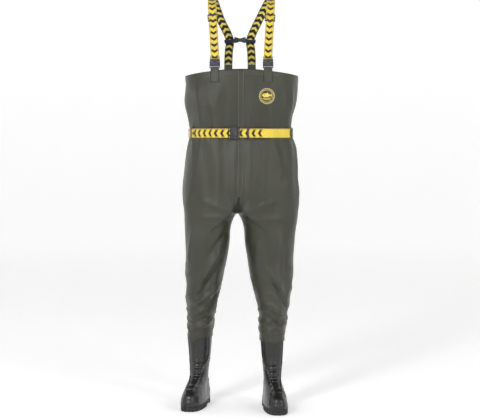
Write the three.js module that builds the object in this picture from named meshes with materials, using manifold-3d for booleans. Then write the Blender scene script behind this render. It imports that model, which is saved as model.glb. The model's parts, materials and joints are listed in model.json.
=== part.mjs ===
// Chest waders: a coated-fabric suit with moulded boots, elastic braces and a waist belt.
// Millimetres, +Z up. The wearer faces -Y and the wearer's left is +X.
// Heights are counted from the ground under the soles while the suit is built. The finished group is
// then lowered, so that its origin lies in the middle of the chest opening, at the height of the front hem.
import * as THREE from "three";
import { mergeVertices } from "three/addons/utils/BufferGeometryUtils.js";
import Module from "manifold-3d";

const wasm = await Module();
wasm.setup();

// ---------------------------------------------------------------- driving dimensions
const CLEARANCE = 0.4; // between pieces that lie on each other
const FABRIC_WALL = 2.0;
const TAPE_WALL = 1.2;

// The body of the suit: half widths and half depths of its outline at each height.
const BODY_BOTTOM_HEIGHT = 840;
const HIP_RISE = 85;
const WAIST_RISE = 220;
const CHEST_RISE = 259;
const HIP_HEIGHT = BODY_BOTTOM_HEIGHT + HIP_RISE;
const WAIST_HEIGHT = HIP_HEIGHT + WAIST_RISE;
const FRONT_HEM_HEIGHT = WAIST_HEIGHT + CHEST_RISE;
const RIB_HEIGHT = WAIST_HEIGHT + CHEST_RISE / 2 - 4.5;
const SIDE_HEM_DROP = 22;
const BACK_HEM_RISE = 16;
const CHEST_HALF_WIDTH = 237;
const CHEST_HALF_DEPTH = 140;
const RIB_HALF_WIDTH = 231;
const WAIST_HALF_WIDTH = 213;
const WAIST_HALF_DEPTH = 126;
const HIP_HALF_WIDTH = 241;
const HIP_HALF_DEPTH = 140;
const BODY_SQUARENESS = 2.5;
const BODY_FACETS = 44;

const HEM_WIDTH = 24;
const FRONT_TAPE_HALF_WIDTH = 13;
const BACK_TAPE_HALF_WIDTH = 12;
const TAPE_HEM_GAP = 2;
const GUSSET_HALF_WIDTH = 17;
const GUSSET_LENGTH = 41;
const CROTCH_HEIGHT = BODY_BOTTOM_HEIGHT - 22;
const CROTCH_X = -12;

const EMBLEM_RADIUS = 34;
const EMBLEM_X = 104;
const EMBLEM_DROP = 107;
const EMBLEM_HEIGHT = FRONT_HEM_HEIGHT - EMBLEM_DROP;

// Waist belt.
const BELT_WIDTH = 40;
const BELT_THICKNESS = 2.0;
const BELT_GAP = TAPE_WALL + 3 * CLEARANCE;
const BELT_FLAT_HALF = 84;
const BELT_BLEND = 70;
const BELT_BUCKLE_X = -34;
const BELT_SLIDER_X = 27;
const BELT_LOOP_WIDTH = 14;
const BELT_LOOP_ANGLE = 0.42;

// Legs, one entry a side: the middle, half width and half depth of the tube at each height.
const LEG_TOP_HEIGHT = BODY_BOTTOM_HEIGHT - 140;
const KNEE_HEIGHT = 480;
const KNEE_TOP_HEIGHT = KNEE_HEIGHT + 120;
const KNEE_BOTTOM_HEIGHT = KNEE_HEIGHT - 150;
const LEG_FACETS = 32;
const LEG_SQUARENESS = 2.2;
const LEG_HALF_DEPTHS = [115, 102, 90, 78];
const SIDES = {
  left: {
    sign: 1,
    legMiddleX: [118, 123, 130, 131],
    legMiddleY: [-4, -12, -24, -34],
    legHalfWidths: [107, 96, 76, 59],
    ankle: [128, -44],
    toeOut: 7,
  },
  right: {
    sign: -1,
    legMiddleX: [-144, -152, -164, -171],
    legMiddleY: [2, 6, 14, 22],
    legHalfWidths: [94, 84, 71, 56],
    ankle: [-176, 28],
    toeOut: 12,
  },
};

// Boots: heel and toe reach and half width of the outline at each height, from the ankle's middle.
const SOLE_THICKNESS = 26;
const SOLE_WELT = 3;
const BOOT_TOP_HEIGHT = 296;
const BOOT_OVERLAP = 24;
const LEG_BOTTOM_HEIGHT = BOOT_TOP_HEIGHT - BOOT_OVERLAP;
const LEG_HEIGHTS = [LEG_TOP_HEIGHT, KNEE_TOP_HEIGHT, KNEE_HEIGHT, KNEE_HEIGHT - 100, BOOT_TOP_HEIGHT];
const BOOT_WALL = 3.5;
const BOOT_HEIGHTS = [SOLE_THICKNESS, 45, 65, 85, 105, 125, 160, 200, BOOT_TOP_HEIGHT];
const HEEL_REACH = [68, 70, 69, 66, 62, 59, 58, 61, 67];
const TOE_REACH = [208, 211, 203, 166, 108, 76, 62, 61, 66];
const BOOT_HALF_WIDTHS = [46, 45, 42.5, 39.5, 37, 35.5, 38, 42, 49.5];
const BOOT_FACETS = LEG_FACETS;
const FOOT_SQUARENESS = 2.9;
const INSTEP_HEIGHT = 120;
const INSOLE_THICKNESS = 4;
const HEEL_GUARD_TOP = 96;
const HEEL_GUARD_THICKNESS = 4;
const HEEL_GUARD_GAP = 0.6;
const GROOVE_DEPTH = 4;
const GROOVE_WIDTH = 6;
const GROOVE_PITCH = 19;
const ARCH_DEPTH = 7;

// Braces.
const STRAP_WIDTH = 35;
const STRAP_THICKNESS = 1.6;
const BUCKLE_X = 109;
const BUCKLE_RISE = 34;
const BUCKLE_MOUTH_HEIGHT = FRONT_HEM_HEIGHT + BUCKLE_RISE;
const TAB_WIDTH = 37;
const TAB_LENGTH = 46;
const SHOULDER_X = 122;
const SHOULDER_Y = -10;
const SHOULDER_RISE = 300;
const SHOULDER_HEIGHT = FRONT_HEM_HEIGHT + SHOULDER_RISE;
const STRAIGHT_TOP = [120, -84, SHOULDER_HEIGHT - 44];
const BACK_MIDDLE_X = -6;
const CROSSING_HALF_SPACING = 44;
const CROSSING_Y = 95;
const CROSSING_HEIGHT = FRONT_HEM_HEIGHT + 136;
const BACK_TAB_HALF_SPACING = 50;
const BACK_TAB_RISE = 18;
const BACK_TAB_LENGTH = 55;
const STRAP_SLIDER_HEIGHT = SHOULDER_HEIGHT - 86;

// Side-release buckles: in their own frame the mouth is at z = 0, the prong above and the socket below.
const BUCKLE_THICKNESS = 11;
const BUCKLE_PLATE = 1.8;
const SOCKET_DEPTH = 15;
const SOCKET_BASE = 5;
const BAR_WINDOW = 4;
const BAR_HEIGHT = 3.5;
const BAR_THICKNESS = 3.2;
const PRONG_BLOCK = 10;
const PRONG_WINDOW = 7;
const ARM_LENGTH = 14;
const ARM_THICKNESS = 4.2;
const ARM_ROOT_GAP = 0.6;
const BUCKLE_RAIL = 3.2;
const WEBBING_PLAY = 1.0;

// ---------------------------------------------------------------- materials
const material = (color, roughness, metalness = 0) => new THREE.MeshStandardMaterial({ color, roughness, metalness });
const OLIVE = material(0x4e4f45, 0.8);
const OLIVE_TAPE = material(0x5a5b50, 0.7);
const BOOT_RUBBER = material(0x3a3a38, 0.55);
const SOLE_RUBBER = material(0x242422, 0.7);
const LINING = material(0x6b6a60, 0.9);
const YELLOW_ELASTIC = material(0xe0c63f, 0.85);
const BUCKLE_PLASTIC = material(0x2b2c33, 0.4);
const ARM_PLASTIC = material(0x34353c, 0.4);
const EMBLEM_PRINT = material(0xd9bd3c, 0.6);

// ---------------------------------------------------------------- helpers
const suit = new THREE.Group();
suit.name = "chest_waders";
suit.position.z = -FRONT_HEM_HEIGHT;

function add(name, geometry, meshMaterial) {
  const mesh = new THREE.Mesh(geometry, meshMaterial);
  mesh.name = name;
  suit.add(mesh);
  return mesh;
}

const vec = (x, y, z) => new THREE.Vector3(x, y, z);
const mix = (a, b, f) => a + (b - a) * f;
const ease = (f) => f * f * (3 - 2 * f);
const clamp01 = (f) => Math.min(1, Math.max(0, f));

// A smooth curve through values given at rising places.
function curveThrough(places, values) {
  const rising = places[0] < places[places.length - 1];
  const xs = rising ? places : [...places].reverse();
  const ys = rising ? values : [...values].reverse();
  const slope = xs.map((_, i) => {
    const low = Math.max(0, i - 1);
    const high = Math.min(xs.length - 1, i + 1);
    return (ys[high] - ys[low]) / (xs[high] - xs[low]);
  });
  return (x) => {
    let i = 0;
    while (i < xs.length - 2 && x > xs[i + 1]) i += 1;
    const span = xs[i + 1] - xs[i];
    const f = clamp01((x - xs[i]) / span);
    const f2 = f * f;
    const f3 = f2 * f;
    const start = (2 * f3 - 3 * f2 + 1) * ys[i] + (f3 - 2 * f2 + f) * span * slope[i];
    return start + (3 * f2 - 2 * f3) * ys[i + 1] + (f3 - f2) * span * slope[i + 1];
  };
}

// Joins rings of equal length into one closed body. ends: "loop" joins the last ring to the first, "fan" closes
// each end about its middle, "strip" closes each end across a thin section.
function loft(rings, ends) {
  const count = rings[0].length;
  const points = rings.flat();
  const faces = [];
  const last = ends === "loop" ? rings.length : rings.length - 1;
  for (let r = 0; r < last; r += 1) {
    const here = r * count;
    const next = ((r + 1) % rings.length) * count;
    for (let i = 0; i < count; i += 1) {
      const j = (i + 1) % count;
      faces.push([here + i, here + j, next + j], [here + i, next + j, next + i]);
    }
  }
  if (ends !== "loop") {
    for (const [start, turned] of [[0, true], [(rings.length - 1) * count, false]]) {
      const capFaces = [];
      if (ends === "fan") {
        const middle = vec(0, 0, 0);
        for (let i = 0; i < count; i += 1) middle.add(points[start + i]);
        points.push(middle.divideScalar(count));
        for (let i = 0; i < count; i += 1) capFaces.push([start + i, start + ((i + 1) % count), points.length - 1]);
      } else {
        for (let i = 0; i < count / 2 - 1; i += 1) {
          const far = count - 1 - i;
          capFaces.push([start + i, start + i + 1, start + far - 1], [start + i, start + far - 1, start + far]);
        }
      }
      for (const face of capFaces) faces.push(turned ? [face[0], face[2], face[1]] : face);
    }
  }
  let volume = 0;
  for (const [a, b, c] of faces) volume += points[a].dot(points[b].clone().cross(points[c]));
  if (volume < 0) for (const face of faces) face.reverse();
  const geometry = new THREE.BufferGeometry();
  geometry.setAttribute("position", new THREE.Float32BufferAttribute(points.flatMap((p) => [p.x, p.y, p.z]), 3));
  geometry.setIndex(faces.flat());
  geometry.computeVertexNormals();
  return geometry;
}

function solidOf(geometry) {
  const bare = geometry.clone();
  bare.deleteAttribute("normal");
  if (bare.getAttribute("uv")) bare.deleteAttribute("uv");
  const merged = mergeVertices(bare, 1e-4);
  const triVerts = new Uint32Array(merged.index.array);
  return new wasm.Manifold(new wasm.Mesh({ numProp: 3, vertProperties: merged.attributes.position.array, triVerts }));
}

function geometryOf(solid) {
  const mesh = solid.getMesh();
  const geometry = new THREE.BufferGeometry();
  geometry.setAttribute("position", new THREE.BufferAttribute(new Float32Array(mesh.vertProperties), 3));
  geometry.setIndex(Array.from(mesh.triVerts));
  geometry.computeVertexNormals();
  return geometry;
}

// A box from its lowest to its highest corner, as a solid.
function block(low, high) {
  const size = high.map((value, i) => value - low[i]);
  const geometry = new THREE.BoxGeometry(...size);
  geometry.translate(low[0] + size[0] / 2, low[1] + size[1] / 2, low[2] + size[2] / 2);
  return solidOf(geometry);
}

const joined = (solids) => solids.reduce((whole, piece) => whole.add(piece));

// Moves a point list outwards in the horizontal plane by a distance.
function grown(ring, distance) {
  return ring.map((point, i) => {
    const before = ring[(i + ring.length - 1) % ring.length];
    const after = ring[(i + 1) % ring.length];
    const normal = vec(after.y - before.y, before.x - after.x, 0).normalize();
    return point.clone().addScaledVector(normal, distance);
  });
}

// ---------------------------------------------------------------- body surface
const BODY_KEYS = [BODY_BOTTOM_HEIGHT, HIP_HEIGHT, WAIST_HEIGHT, RIB_HEIGHT, FRONT_HEM_HEIGHT];
const halfWidthAt = curveThrough(BODY_KEYS, [240, HIP_HALF_WIDTH, WAIST_HALF_WIDTH, RIB_HALF_WIDTH, CHEST_HALF_WIDTH]);
const halfDepthAt = curveThrough(BODY_KEYS, [136, HIP_HALF_DEPTH, WAIST_HALF_DEPTH, 136, CHEST_HALF_DEPTH]);

// A point of the body's outline: angle 0 is the wearer's left side and -90 degrees the front.
function bodyPoint(angle, height, offset) {
  const a = halfWidthAt(height);
  const b = halfDepthAt(height);
  const c = Math.cos(angle);
  const s = Math.sin(angle);
  const reach = (Math.abs(c) ** BODY_SQUARENESS + Math.abs(s) ** BODY_SQUARENESS) ** (-1 / BODY_SQUARENESS);
  const nx = (Math.sign(c) * Math.abs(c) ** (BODY_SQUARENESS - 1)) / a;
  const ny = (Math.sign(s) * Math.abs(s) ** (BODY_SQUARENESS - 1)) / b;
  const size = Math.hypot(nx, ny);
  return vec(a * c * reach + (nx / size) * offset, b * s * reach + (ny / size) * offset, height);
}

// The angle whose outline point has a given x, on the front (-1) or the back (+1).
function angleAt(x, height, face) {
  let low = 0;
  let high = Math.PI;
  for (let i = 0; i < 40; i += 1) {
    const middle = (low + high) / 2;
    if (bodyPoint(middle, height, 0).x > x) low = middle;
    else high = middle;
  }
  return face * low;
}

function hemHeight(angle) {
  const across = Math.abs(bodyPoint(angle, FRONT_HEM_HEIGHT, 0).x) / CHEST_HALF_WIDTH;
  const middle = Math.sin(angle) > 0 ? FRONT_HEM_HEIGHT + BACK_HEM_RISE : FRONT_HEM_HEIGHT;
  return mix(middle, FRONT_HEM_HEIGHT - SIDE_HEM_DROP, across ** 2.2);
}

const STEADY_HEIGHT = WAIST_HEIGHT + BELT_WIDTH;
const BODY_LEVELS = [
  BODY_BOTTOM_HEIGHT,
  BODY_BOTTOM_HEIGHT + 1 + GUSSET_LENGTH,
  HIP_HEIGHT,
  HIP_HEIGHT + 60,
  HIP_HEIGHT + 125,
  WAIST_HEIGHT - BELT_WIDTH,
  WAIST_HEIGHT - BELT_WIDTH / 2,
  WAIST_HEIGHT + BELT_WIDTH / 2,
  STEADY_HEIGHT,
  STEADY_HEIGHT + 50,
  RIB_HEIGHT + 15,
  RIB_HEIGHT + 70,
  FRONT_HEM_HEIGHT,
];
const fitted = (level, angle, trim) => {
  if (level <= STEADY_HEIGHT) return level;
  const share = (level - STEADY_HEIGHT) / (FRONT_HEM_HEIGHT - STEADY_HEIGHT);
  return mix(STEADY_HEIGHT, hemHeight(angle) - trim, share);
};

// The angles from one to another, stopping at every facet edge between them.
function facetAngles(from, to) {
  const step = (2 * Math.PI) / BODY_FACETS;
  const found = [from];
  for (let k = Math.ceil(from / step + 0.05); k * step < to - 0.05 * step; k += 1) found.push(k * step);
  found.push(to);
  return found;
}

// A thin sheet that lies on the body, between two offsets, over a list of angles and heights.
function bodySheet(angles, heights, low, high, heightOf = (height) => height) {
  const sections = heights.map((height) => {
    const outer = angles.map((angle) => bodyPoint(angle, heightOf(height, angle), high));
    const inner = angles.map((angle) => bodyPoint(angle, heightOf(height, angle), low));
    return [...outer, ...inner.reverse()];
  });
  return loft(sections, "strip");
}

// ---------------------------------------------------------------- body pieces
const FRONT = -Math.PI / 2;
const BACK = Math.PI / 2;
const SEAM_HALF_ANGLE = 0.0012;

function addBodyPanels() {
  const toHem = (height, angle) => fitted(height, angle, 0);
  const leftAngles = facetAngles(FRONT + SEAM_HALF_ANGLE, BACK - SEAM_HALF_ANGLE);
  const rightAngles = facetAngles(BACK + SEAM_HALF_ANGLE, FRONT + 2 * Math.PI - SEAM_HALF_ANGLE);
  add("left_body_panel", bodySheet(leftAngles, BODY_LEVELS, -FABRIC_WALL, 0, toHem), OLIVE);
  add("right_body_panel", bodySheet(rightAngles, BODY_LEVELS, -FABRIC_WALL, 0, toHem), OLIVE);
}

function addSeamTapes() {
  const heights = BODY_LEVELS.slice(1);
  const below = (height, angle) => fitted(height, angle, TAPE_HEM_GAP);
  for (const [name, middle, halfWidth] of [
    ["front_seam_tape", FRONT, FRONT_TAPE_HALF_WIDTH],
    ["back_seam_tape", BACK, BACK_TAPE_HALF_WIDTH],
  ]) {
    const spread = halfWidth / CHEST_HALF_WIDTH;
    const angles = [middle - spread, middle, middle + spread];
    add(name, bodySheet(angles, heights, CLEARANCE, CLEARANCE + TAPE_WALL, below), OLIVE_TAPE);
  }
}

// The hem folds inside the panels' topmost facets, so it is set out between the same two levels.
function addTopHem() {
  const outer = -FABRIC_WALL - CLEARANCE;
  const inner = outer - TAPE_WALL;
  const step = (2 * Math.PI) / BODY_FACETS;
  const levelBelow = BODY_LEVELS[BODY_LEVELS.length - 2];
  const ringAt = (trim, offset) =>
    Array.from({ length: BODY_FACETS }, (_, i) => {
      const low = bodyPoint(i * step, fitted(levelBelow, i * step, 0), offset);
      const high = bodyPoint(i * step, hemHeight(i * step), offset);
      return high.lerp(low, trim / (high.z - low.z));
    });
  const rings = [ringAt(HEM_WIDTH, outer), ringAt(0, outer), ringAt(0, inner), ringAt(HEM_WIDTH, inner)];
  add("top_hem", loft(rings, "loop"), OLIVE);
}

function addGusset() {
  const low = BODY_BOTTOM_HEIGHT + 1;
  const spread = GUSSET_HALF_WIDTH / HIP_HALF_WIDTH;
  const angles = [FRONT - spread, FRONT - spread / 2, FRONT, FRONT + spread / 2, FRONT + spread];
  const heights = [low, low + GUSSET_LENGTH / 2, low + GUSSET_LENGTH - CLEARANCE];
  add("crotch_gusset", bodySheet(angles, heights, CLEARANCE, CLEARANCE + TAPE_WALL), OLIVE_TAPE);
}

function addEmblem() {
  const sides = 28;
  const middleAngle = angleAt(EMBLEM_X, EMBLEM_HEIGHT, -1);
  const middle = bodyPoint(middleAngle, EMBLEM_HEIGHT, 0);
  const discRing = (radius, offset) =>
    Array.from({ length: sides }, (_, i) => {
      const turn = (2 * Math.PI * i) / sides;
      const height = EMBLEM_HEIGHT + radius * Math.sin(turn);
      const angle = angleAt(middle.x + radius * Math.cos(turn), height, -1);
      return bodyPoint(angle, height, offset);
    });
  const low = CLEARANCE + 0.5;
  const high = low + 0.8;
  const radii = [EMBLEM_RADIUS / 3, (2 * EMBLEM_RADIUS) / 3, EMBLEM_RADIUS];
  const rings = [...radii.map((r) => discRing(r, low)), ...[...radii].reverse().map((r) => discRing(r, high))];
  add("chest_emblem", loft(rings, "fan"), EMBLEM_PRINT);
}

// ---------------------------------------------------------------- waist belt
// The belt's path: the body's outline, pulled straight across the front, where it stands off the body by
// as much as the buckle on it needs.
const BELT_STANDOFF = BUCKLE_THICKNESS / 2 - BELT_THICKNESS / 2;
function beltPoint(angle, offset) {
  const point = bodyPoint(angle, WAIST_HEIGHT, offset);
  if (Math.sin(angle) > 0) return point;
  const front = bodyPoint(FRONT, WAIST_HEIGHT, offset).y - BELT_STANDOFF;
  const edge = bodyPoint(angleAt(BELT_FLAT_HALF, WAIST_HEIGHT, -1), WAIST_HEIGHT, offset).y - front;
  const fade = 1 - ease(clamp01((Math.abs(point.x) - BELT_FLAT_HALF) / BELT_BLEND));
  const pull = Math.abs(point.x) < BELT_FLAT_HALF ? point.y - front : edge * fade;
  return vec(point.x, point.y - pull, point.z);
}

function beltRun(fromAngle, toAngle) {
  const sections = facetAngles(fromAngle, toAngle).map((angle) => {
    const inner = beltPoint(angle, BELT_GAP);
    const outer = beltPoint(angle, BELT_GAP + BELT_THICKNESS);
    const half = vec(0, 0, BELT_WIDTH / 2);
    return [inner.clone().sub(half), outer.clone().sub(half), outer.clone().add(half), inner.clone().add(half)];
  });
  return loft(sections, "strip");
}

const BELT_FRONT_Y = beltPoint(FRONT, BELT_GAP + BELT_THICKNESS / 2).y;
const beltBuckleWidth = BELT_WIDTH + 2 * (BUCKLE_RAIL + WEBBING_PLAY);
const SOCKET_LENGTH = SOCKET_DEPTH + SOCKET_BASE + BAR_WINDOW + BAR_HEIGHT;
const PRONG_LENGTH = PRONG_BLOCK + PRONG_WINDOW + BAR_THICKNESS;

function addBelt() {
  const socketEnd = BELT_BUCKLE_X + SOCKET_LENGTH + CLEARANCE;
  const prongEnd = BELT_BUCKLE_X - PRONG_LENGTH - CLEARANCE;
  const start = angleAt(socketEnd, WAIST_HEIGHT, -1);
  const elasticStart = -angleAt(prongEnd, WAIST_HEIGHT, 1) + 2 * Math.PI;
  const elasticEnd = Math.PI + BELT_LOOP_ANGLE + 0.06;
  add("belt_webbing", beltRun(start, elasticEnd - CLEARANCE / WAIST_HALF_WIDTH), YELLOW_ELASTIC);
  add("belt_elastic_front", beltRun(elasticEnd, elasticStart), YELLOW_ELASTIC);
}

function addBeltLoops() {
  const crest = BELT_GAP + BELT_THICKNESS + CLEARANCE + 1.4;
  const half = BELT_WIDTH / 2;
  const profile = [
    [-half - 15, CLEARANCE + 0.3],
    [-half - 6, CLEARANCE + 0.3],
    [-half - 2, crest],
    [half + 2, crest],
    [half + 6, CLEARANCE + 0.3],
    [half + 15, CLEARANCE + 0.3],
  ];
  const spread = BELT_LOOP_WIDTH / 2 / (WAIST_HALF_DEPTH + 60);
  for (const [name, angle] of [
    ["left_belt_loop", -BELT_LOOP_ANGLE],
    ["right_belt_loop", Math.PI + BELT_LOOP_ANGLE],
    ["back_belt_loop", BACK],
  ]) {
    const lift = angle === BACK ? TAPE_WALL + CLEARANCE : 0;
    const sections = profile.map(([rise, offset]) => {
      const height = WAIST_HEIGHT + rise;
      const out = Math.max(offset, CLEARANCE + 0.3 + lift);
      const corner = (turn, thickness) => bodyPoint(angle + turn, height, out + thickness);
      return [corner(-spread, 0), corner(-spread, 1), corner(spread, 1), corner(spread, 0)];
    });
    add(name, loft(sections, "strip"), OLIVE);
  }
}

// ---------------------------------------------------------------- buckles
// The socket: two plates joined at the base, with a bar for the webbing below it.
function socketSolid(width) {
  const half = width / 2;
  const deep = BUCKLE_THICKNESS / 2;
  const windowHalf = half - BUCKLE_RAIL;
  const shell = block([-half, -deep, -SOCKET_DEPTH - SOCKET_BASE], [half, deep, 0]);
  const cavityHalf = deep - BUCKLE_PLATE;
  const cavity = block([-half - 1, -cavityHalf, -SOCKET_DEPTH], [half + 1, cavityHalf, 1]);
  const barDeep = BAR_THICKNESS / 2;
  const frameLow = -SOCKET_LENGTH;
  const frame = block([-half, -barDeep, frameLow], [half, barDeep, -SOCKET_DEPTH - 1]);
  const opening = block([-windowHalf, -deep, frameLow + BAR_HEIGHT], [windowHalf, deep, -SOCKET_DEPTH - SOCKET_BASE]);
  return shell.subtract(cavity).add(frame).subtract(opening);
}

// The prong: a block with a middle tongue and a bar for the webbing above it.
function prongSolid(width) {
  const half = width / 2 - 1;
  const deep = BUCKLE_THICKNESS / 2 - 0.8;
  const windowHalf = width / 2 - BUCKLE_RAIL;
  const foot = ARM_ROOT_GAP;
  const body = block([-half, -deep, foot], [half, deep, PRONG_BLOCK]);
  const barDeep = BAR_THICKNESS / 2;
  const frame = block([-half, -barDeep, PRONG_BLOCK - 1], [half, barDeep, PRONG_LENGTH]);
  const opening = block([-windowHalf, -deep, PRONG_BLOCK], [windowHalf, deep, PRONG_LENGTH - BAR_THICKNESS]);
  const tongue = block([-4, -ARM_THICKNESS / 2, -ARM_LENGTH + 1], [4, ARM_THICKNESS / 2, foot + 1]);
  return joined([body, frame, tongue]).subtract(opening);
}

// A springy release arm, with the pad that the fingers press.
function armSolid(width, side) {
  const outer = width / 2 - 0.5;
  const root = outer - 8;
  const thick = ARM_THICKNESS / 2;
  const stem = block([root, -thick, -ARM_LENGTH], [root + 4, thick, 0]);
  const pad = block([root + 3, -thick, -ARM_LENGTH + 2], [outer, thick, -4]);
  const solid = stem.add(pad);
  return side > 0 ? solid : solid.mirror([1, 0, 0]);
}

function addBuckle(prefix, width, place, turn) {
  const pieces = [
    [`${prefix}_buckle_socket`, socketSolid(width), BUCKLE_PLASTIC],
    [`${prefix}_buckle_prong`, prongSolid(width), BUCKLE_PLASTIC],
    [`${prefix}_buckle_arm_a`, armSolid(width, 1), ARM_PLASTIC],
    [`${prefix}_buckle_arm_b`, armSolid(width, -1), ARM_PLASTIC],
  ];
  for (const [name, solid, look] of pieces) {
    const mesh = add(name, geometryOf(solid), look);
    mesh.position.copy(place);
    mesh.rotation.y = turn;
  }
}

// ---------------------------------------------------------------- straps
// The direction, width direction and face direction of a ribbon at a point of its path.
function ribbonFrame(direction) {
  const along = direction.clone().normalize();
  const across = vec(1, 0, 0).addScaledVector(along, -along.x).normalize();
  const face = across.clone().cross(along);
  return { along, across, face };
}

function ribbon(points, width, thickness) {
  const sections = points.map((point, i) => {
    const before = points[Math.max(0, i - 1)];
    const after = points[Math.min(points.length - 1, i + 1)];
    const { across, face } = ribbonFrame(after.clone().sub(before));
    const corner = (w, t) => point.clone().addScaledVector(across, (w * width) / 2).addScaledVector(face, t * thickness / 2);
    return [corner(-1, -1), corner(1, -1), corner(1, 1), corner(-1, 1)];
  });
  return loft(sections, "strip");
}

// A half turn of a ribbon round a bar, in the plane across X: from the low face to the high one.
function halfTurn(x, y, height, radius, fromDegrees, toDegrees) {
  const steps = 6;
  return Array.from({ length: steps + 1 }, (_, i) => {
    const angle = THREE.MathUtils.degToRad(mix(fromDegrees, toDegrees, i / steps));
    return vec(x, y + radius * Math.cos(angle), height + radius * Math.sin(angle));
  });
}

const TAB_ANGLE = angleAt(BUCKLE_X, FRONT_HEM_HEIGHT, -1);
const TAB_LOOP_RADIUS = Math.hypot(BAR_THICKNESS, BAR_HEIGHT) / 2 + CLEARANCE + TAPE_WALL / 2;
const TAB_FACE_Y = bodyPoint(TAB_ANGLE, FRONT_HEM_HEIGHT, CLEARANCE + 0.3 + TAPE_WALL / 2).y;
const BUCKLE_Y = TAB_FACE_Y + TAB_LOOP_RADIUS;
const STRAP_LOOP_RADIUS = Math.hypot(BAR_THICKNESS, BAR_THICKNESS) / 2 + CLEARANCE + STRAP_THICKNESS / 2;
const strapBuckleWidth = STRAP_WIDTH + 2 * (BUCKLE_RAIL + WEBBING_PLAY);

function addFrontTab(name, sign) {
  const hem = hemHeight(TAB_ANGLE);
  const neckHeight = hem + 6;
  const barHeight = BUCKLE_MOUTH_HEIGHT - SOCKET_LENGTH + BAR_HEIGHT / 2;
  const lifted = CLEARANCE + 0.3 + TAPE_WALL / 2;
  const across = [-1, -0.5, 0, 0.5, 1];
  // On the panel the tab follows its curve, and above the hem it straightens to meet the buckle's bar.
  const onBody = [1, 2 / 3, 1 / 3, 0].map((share) => {
    const height = hem - TAB_LENGTH * share;
    return across.map((w) => {
      const x = BUCKLE_X + (w * TAB_WIDTH) / 2;
      const surface = Math.min(height, FRONT_HEM_HEIGHT);
      return vec(sign * x, bodyPoint(angleAt(x, surface, -1), surface, lifted).y, height);
    });
  });
  const flat = (y, height) => across.map((w) => vec(sign * (BUCKLE_X + (w * (STRAP_WIDTH - 1)) / 2), y, height));
  const turn = halfTurn(0, BUCKLE_Y, barHeight, TAB_LOOP_RADIUS, 180, 0).map((point) => flat(point.y, point.z));
  const rows = [...onBody, flat(TAB_FACE_Y, neckHeight), ...turn, flat(BUCKLE_Y + TAB_LOOP_RADIUS, barHeight - 4)];
  const sections = rows.map((row, i) => {
    const before = rows[Math.max(0, i - 1)][2];
    const after = rows[Math.min(rows.length - 1, i + 1)][2];
    const along = after.clone().sub(before).setX(0).normalize();
    const half = vec(0, -along.z, along.y).multiplyScalar(TAPE_WALL / 2);
    return [...row.map((point) => point.clone().add(half)), ...row.map((point) => point.clone().sub(half)).reverse()];
  });
  add(name, loft(sections, "strip"), OLIVE_TAPE);
}

const BACK_HEM_HEIGHT = FRONT_HEM_HEIGHT + BACK_HEM_RISE;
const BACK_TAB_TOP = BACK_HEM_HEIGHT + BACK_TAB_RISE;
const BACK_TAB_OFFSET = -FABRIC_WALL - TAPE_WALL - 2 * CLEARANCE - 0.3;
const backTabX = (sign) => BACK_MIDDLE_X + sign * BACK_TAB_HALF_SPACING;
const BACK_TAB_EDGE = Math.abs(BACK_MIDDLE_X) + BACK_TAB_HALF_SPACING + STRAP_WIDTH / 2;
const backTabFace = (height) => {
  const surface = Math.min(height, FRONT_HEM_HEIGHT);
  return bodyPoint(angleAt(BACK_TAB_EDGE, surface, 1), surface, BACK_TAB_OFFSET - TAPE_WALL / 2).y;
};

function addBackTab(name, sign) {
  const bottom = BACK_TAB_TOP - BACK_TAB_LENGTH;
  const points = levels(bottom, BACK_TAB_TOP, 4).map((height) => vec(backTabX(sign), backTabFace(height), height));
  add(name, ribbon(points, STRAP_WIDTH, TAPE_WALL), OLIVE_TAPE);
}

// The strap's middle line, from its sewn end behind the buckle's bar over the shoulder to the back tab.
function strapPath(sign) {
  const x = sign * BUCKLE_X;
  const barHeight = BUCKLE_MOUTH_HEIGHT + PRONG_LENGTH - BAR_THICKNESS / 2;
  const frontY = BUCKLE_Y - STRAP_LOOP_RADIUS;
  const backY = BUCKLE_Y + STRAP_LOOP_RADIUS;
  const straightTop = vec(sign * STRAIGHT_TOP[0], STRAIGHT_TOP[1], STRAIGHT_TOP[2]);
  const straightFoot = vec(x, frontY, barHeight + 12);
  const sewnTop = straightFoot.clone().lerp(straightTop, 0.2).add(vec(0, 2 * STRAP_LOOP_RADIUS, 0));
  const loopEnd = halfTurn(x, BUCKLE_Y, barHeight, STRAP_LOOP_RADIUS, 0, -180);
  const over = new THREE.CatmullRomCurve3([
    straightFoot.clone().lerp(straightTop, 0.85),
    straightTop,
    vec(sign * SHOULDER_X, SHOULDER_Y - 30, SHOULDER_HEIGHT - 6),
    vec(sign * (SHOULDER_X - 6), SHOULDER_Y + 16, SHOULDER_HEIGHT - 4),
    vec(BACK_MIDDLE_X + sign * 82, 62, SHOULDER_HEIGHT - 79),
    vec(BACK_MIDDLE_X + sign * CROSSING_HALF_SPACING, CROSSING_Y, CROSSING_HEIGHT),
    vec(backTabX(sign) - sign * 2, 119, BACK_TAB_TOP + 52),
    backPivot(sign).add(vec(0, 0, 7)),
  ]);
  const curve = over.getPoints(40).filter((point, i) => i > 3);
  const straightRun = [0, 0.2, 0.4, 0.6, 0.8].map((f) => straightFoot.clone().lerp(straightTop, f));
  return [sewnTop, vec(x, backY, barHeight + 12), ...loopEnd, ...straightRun, ...curve, backPivot(sign)];
}

// Where the strap's end meets the top of the back tab.
function backPivot(sign) {
  return vec(backTabX(sign), backTabFace(BACK_TAB_TOP), BACK_TAB_TOP + CLEARANCE);
}

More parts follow.
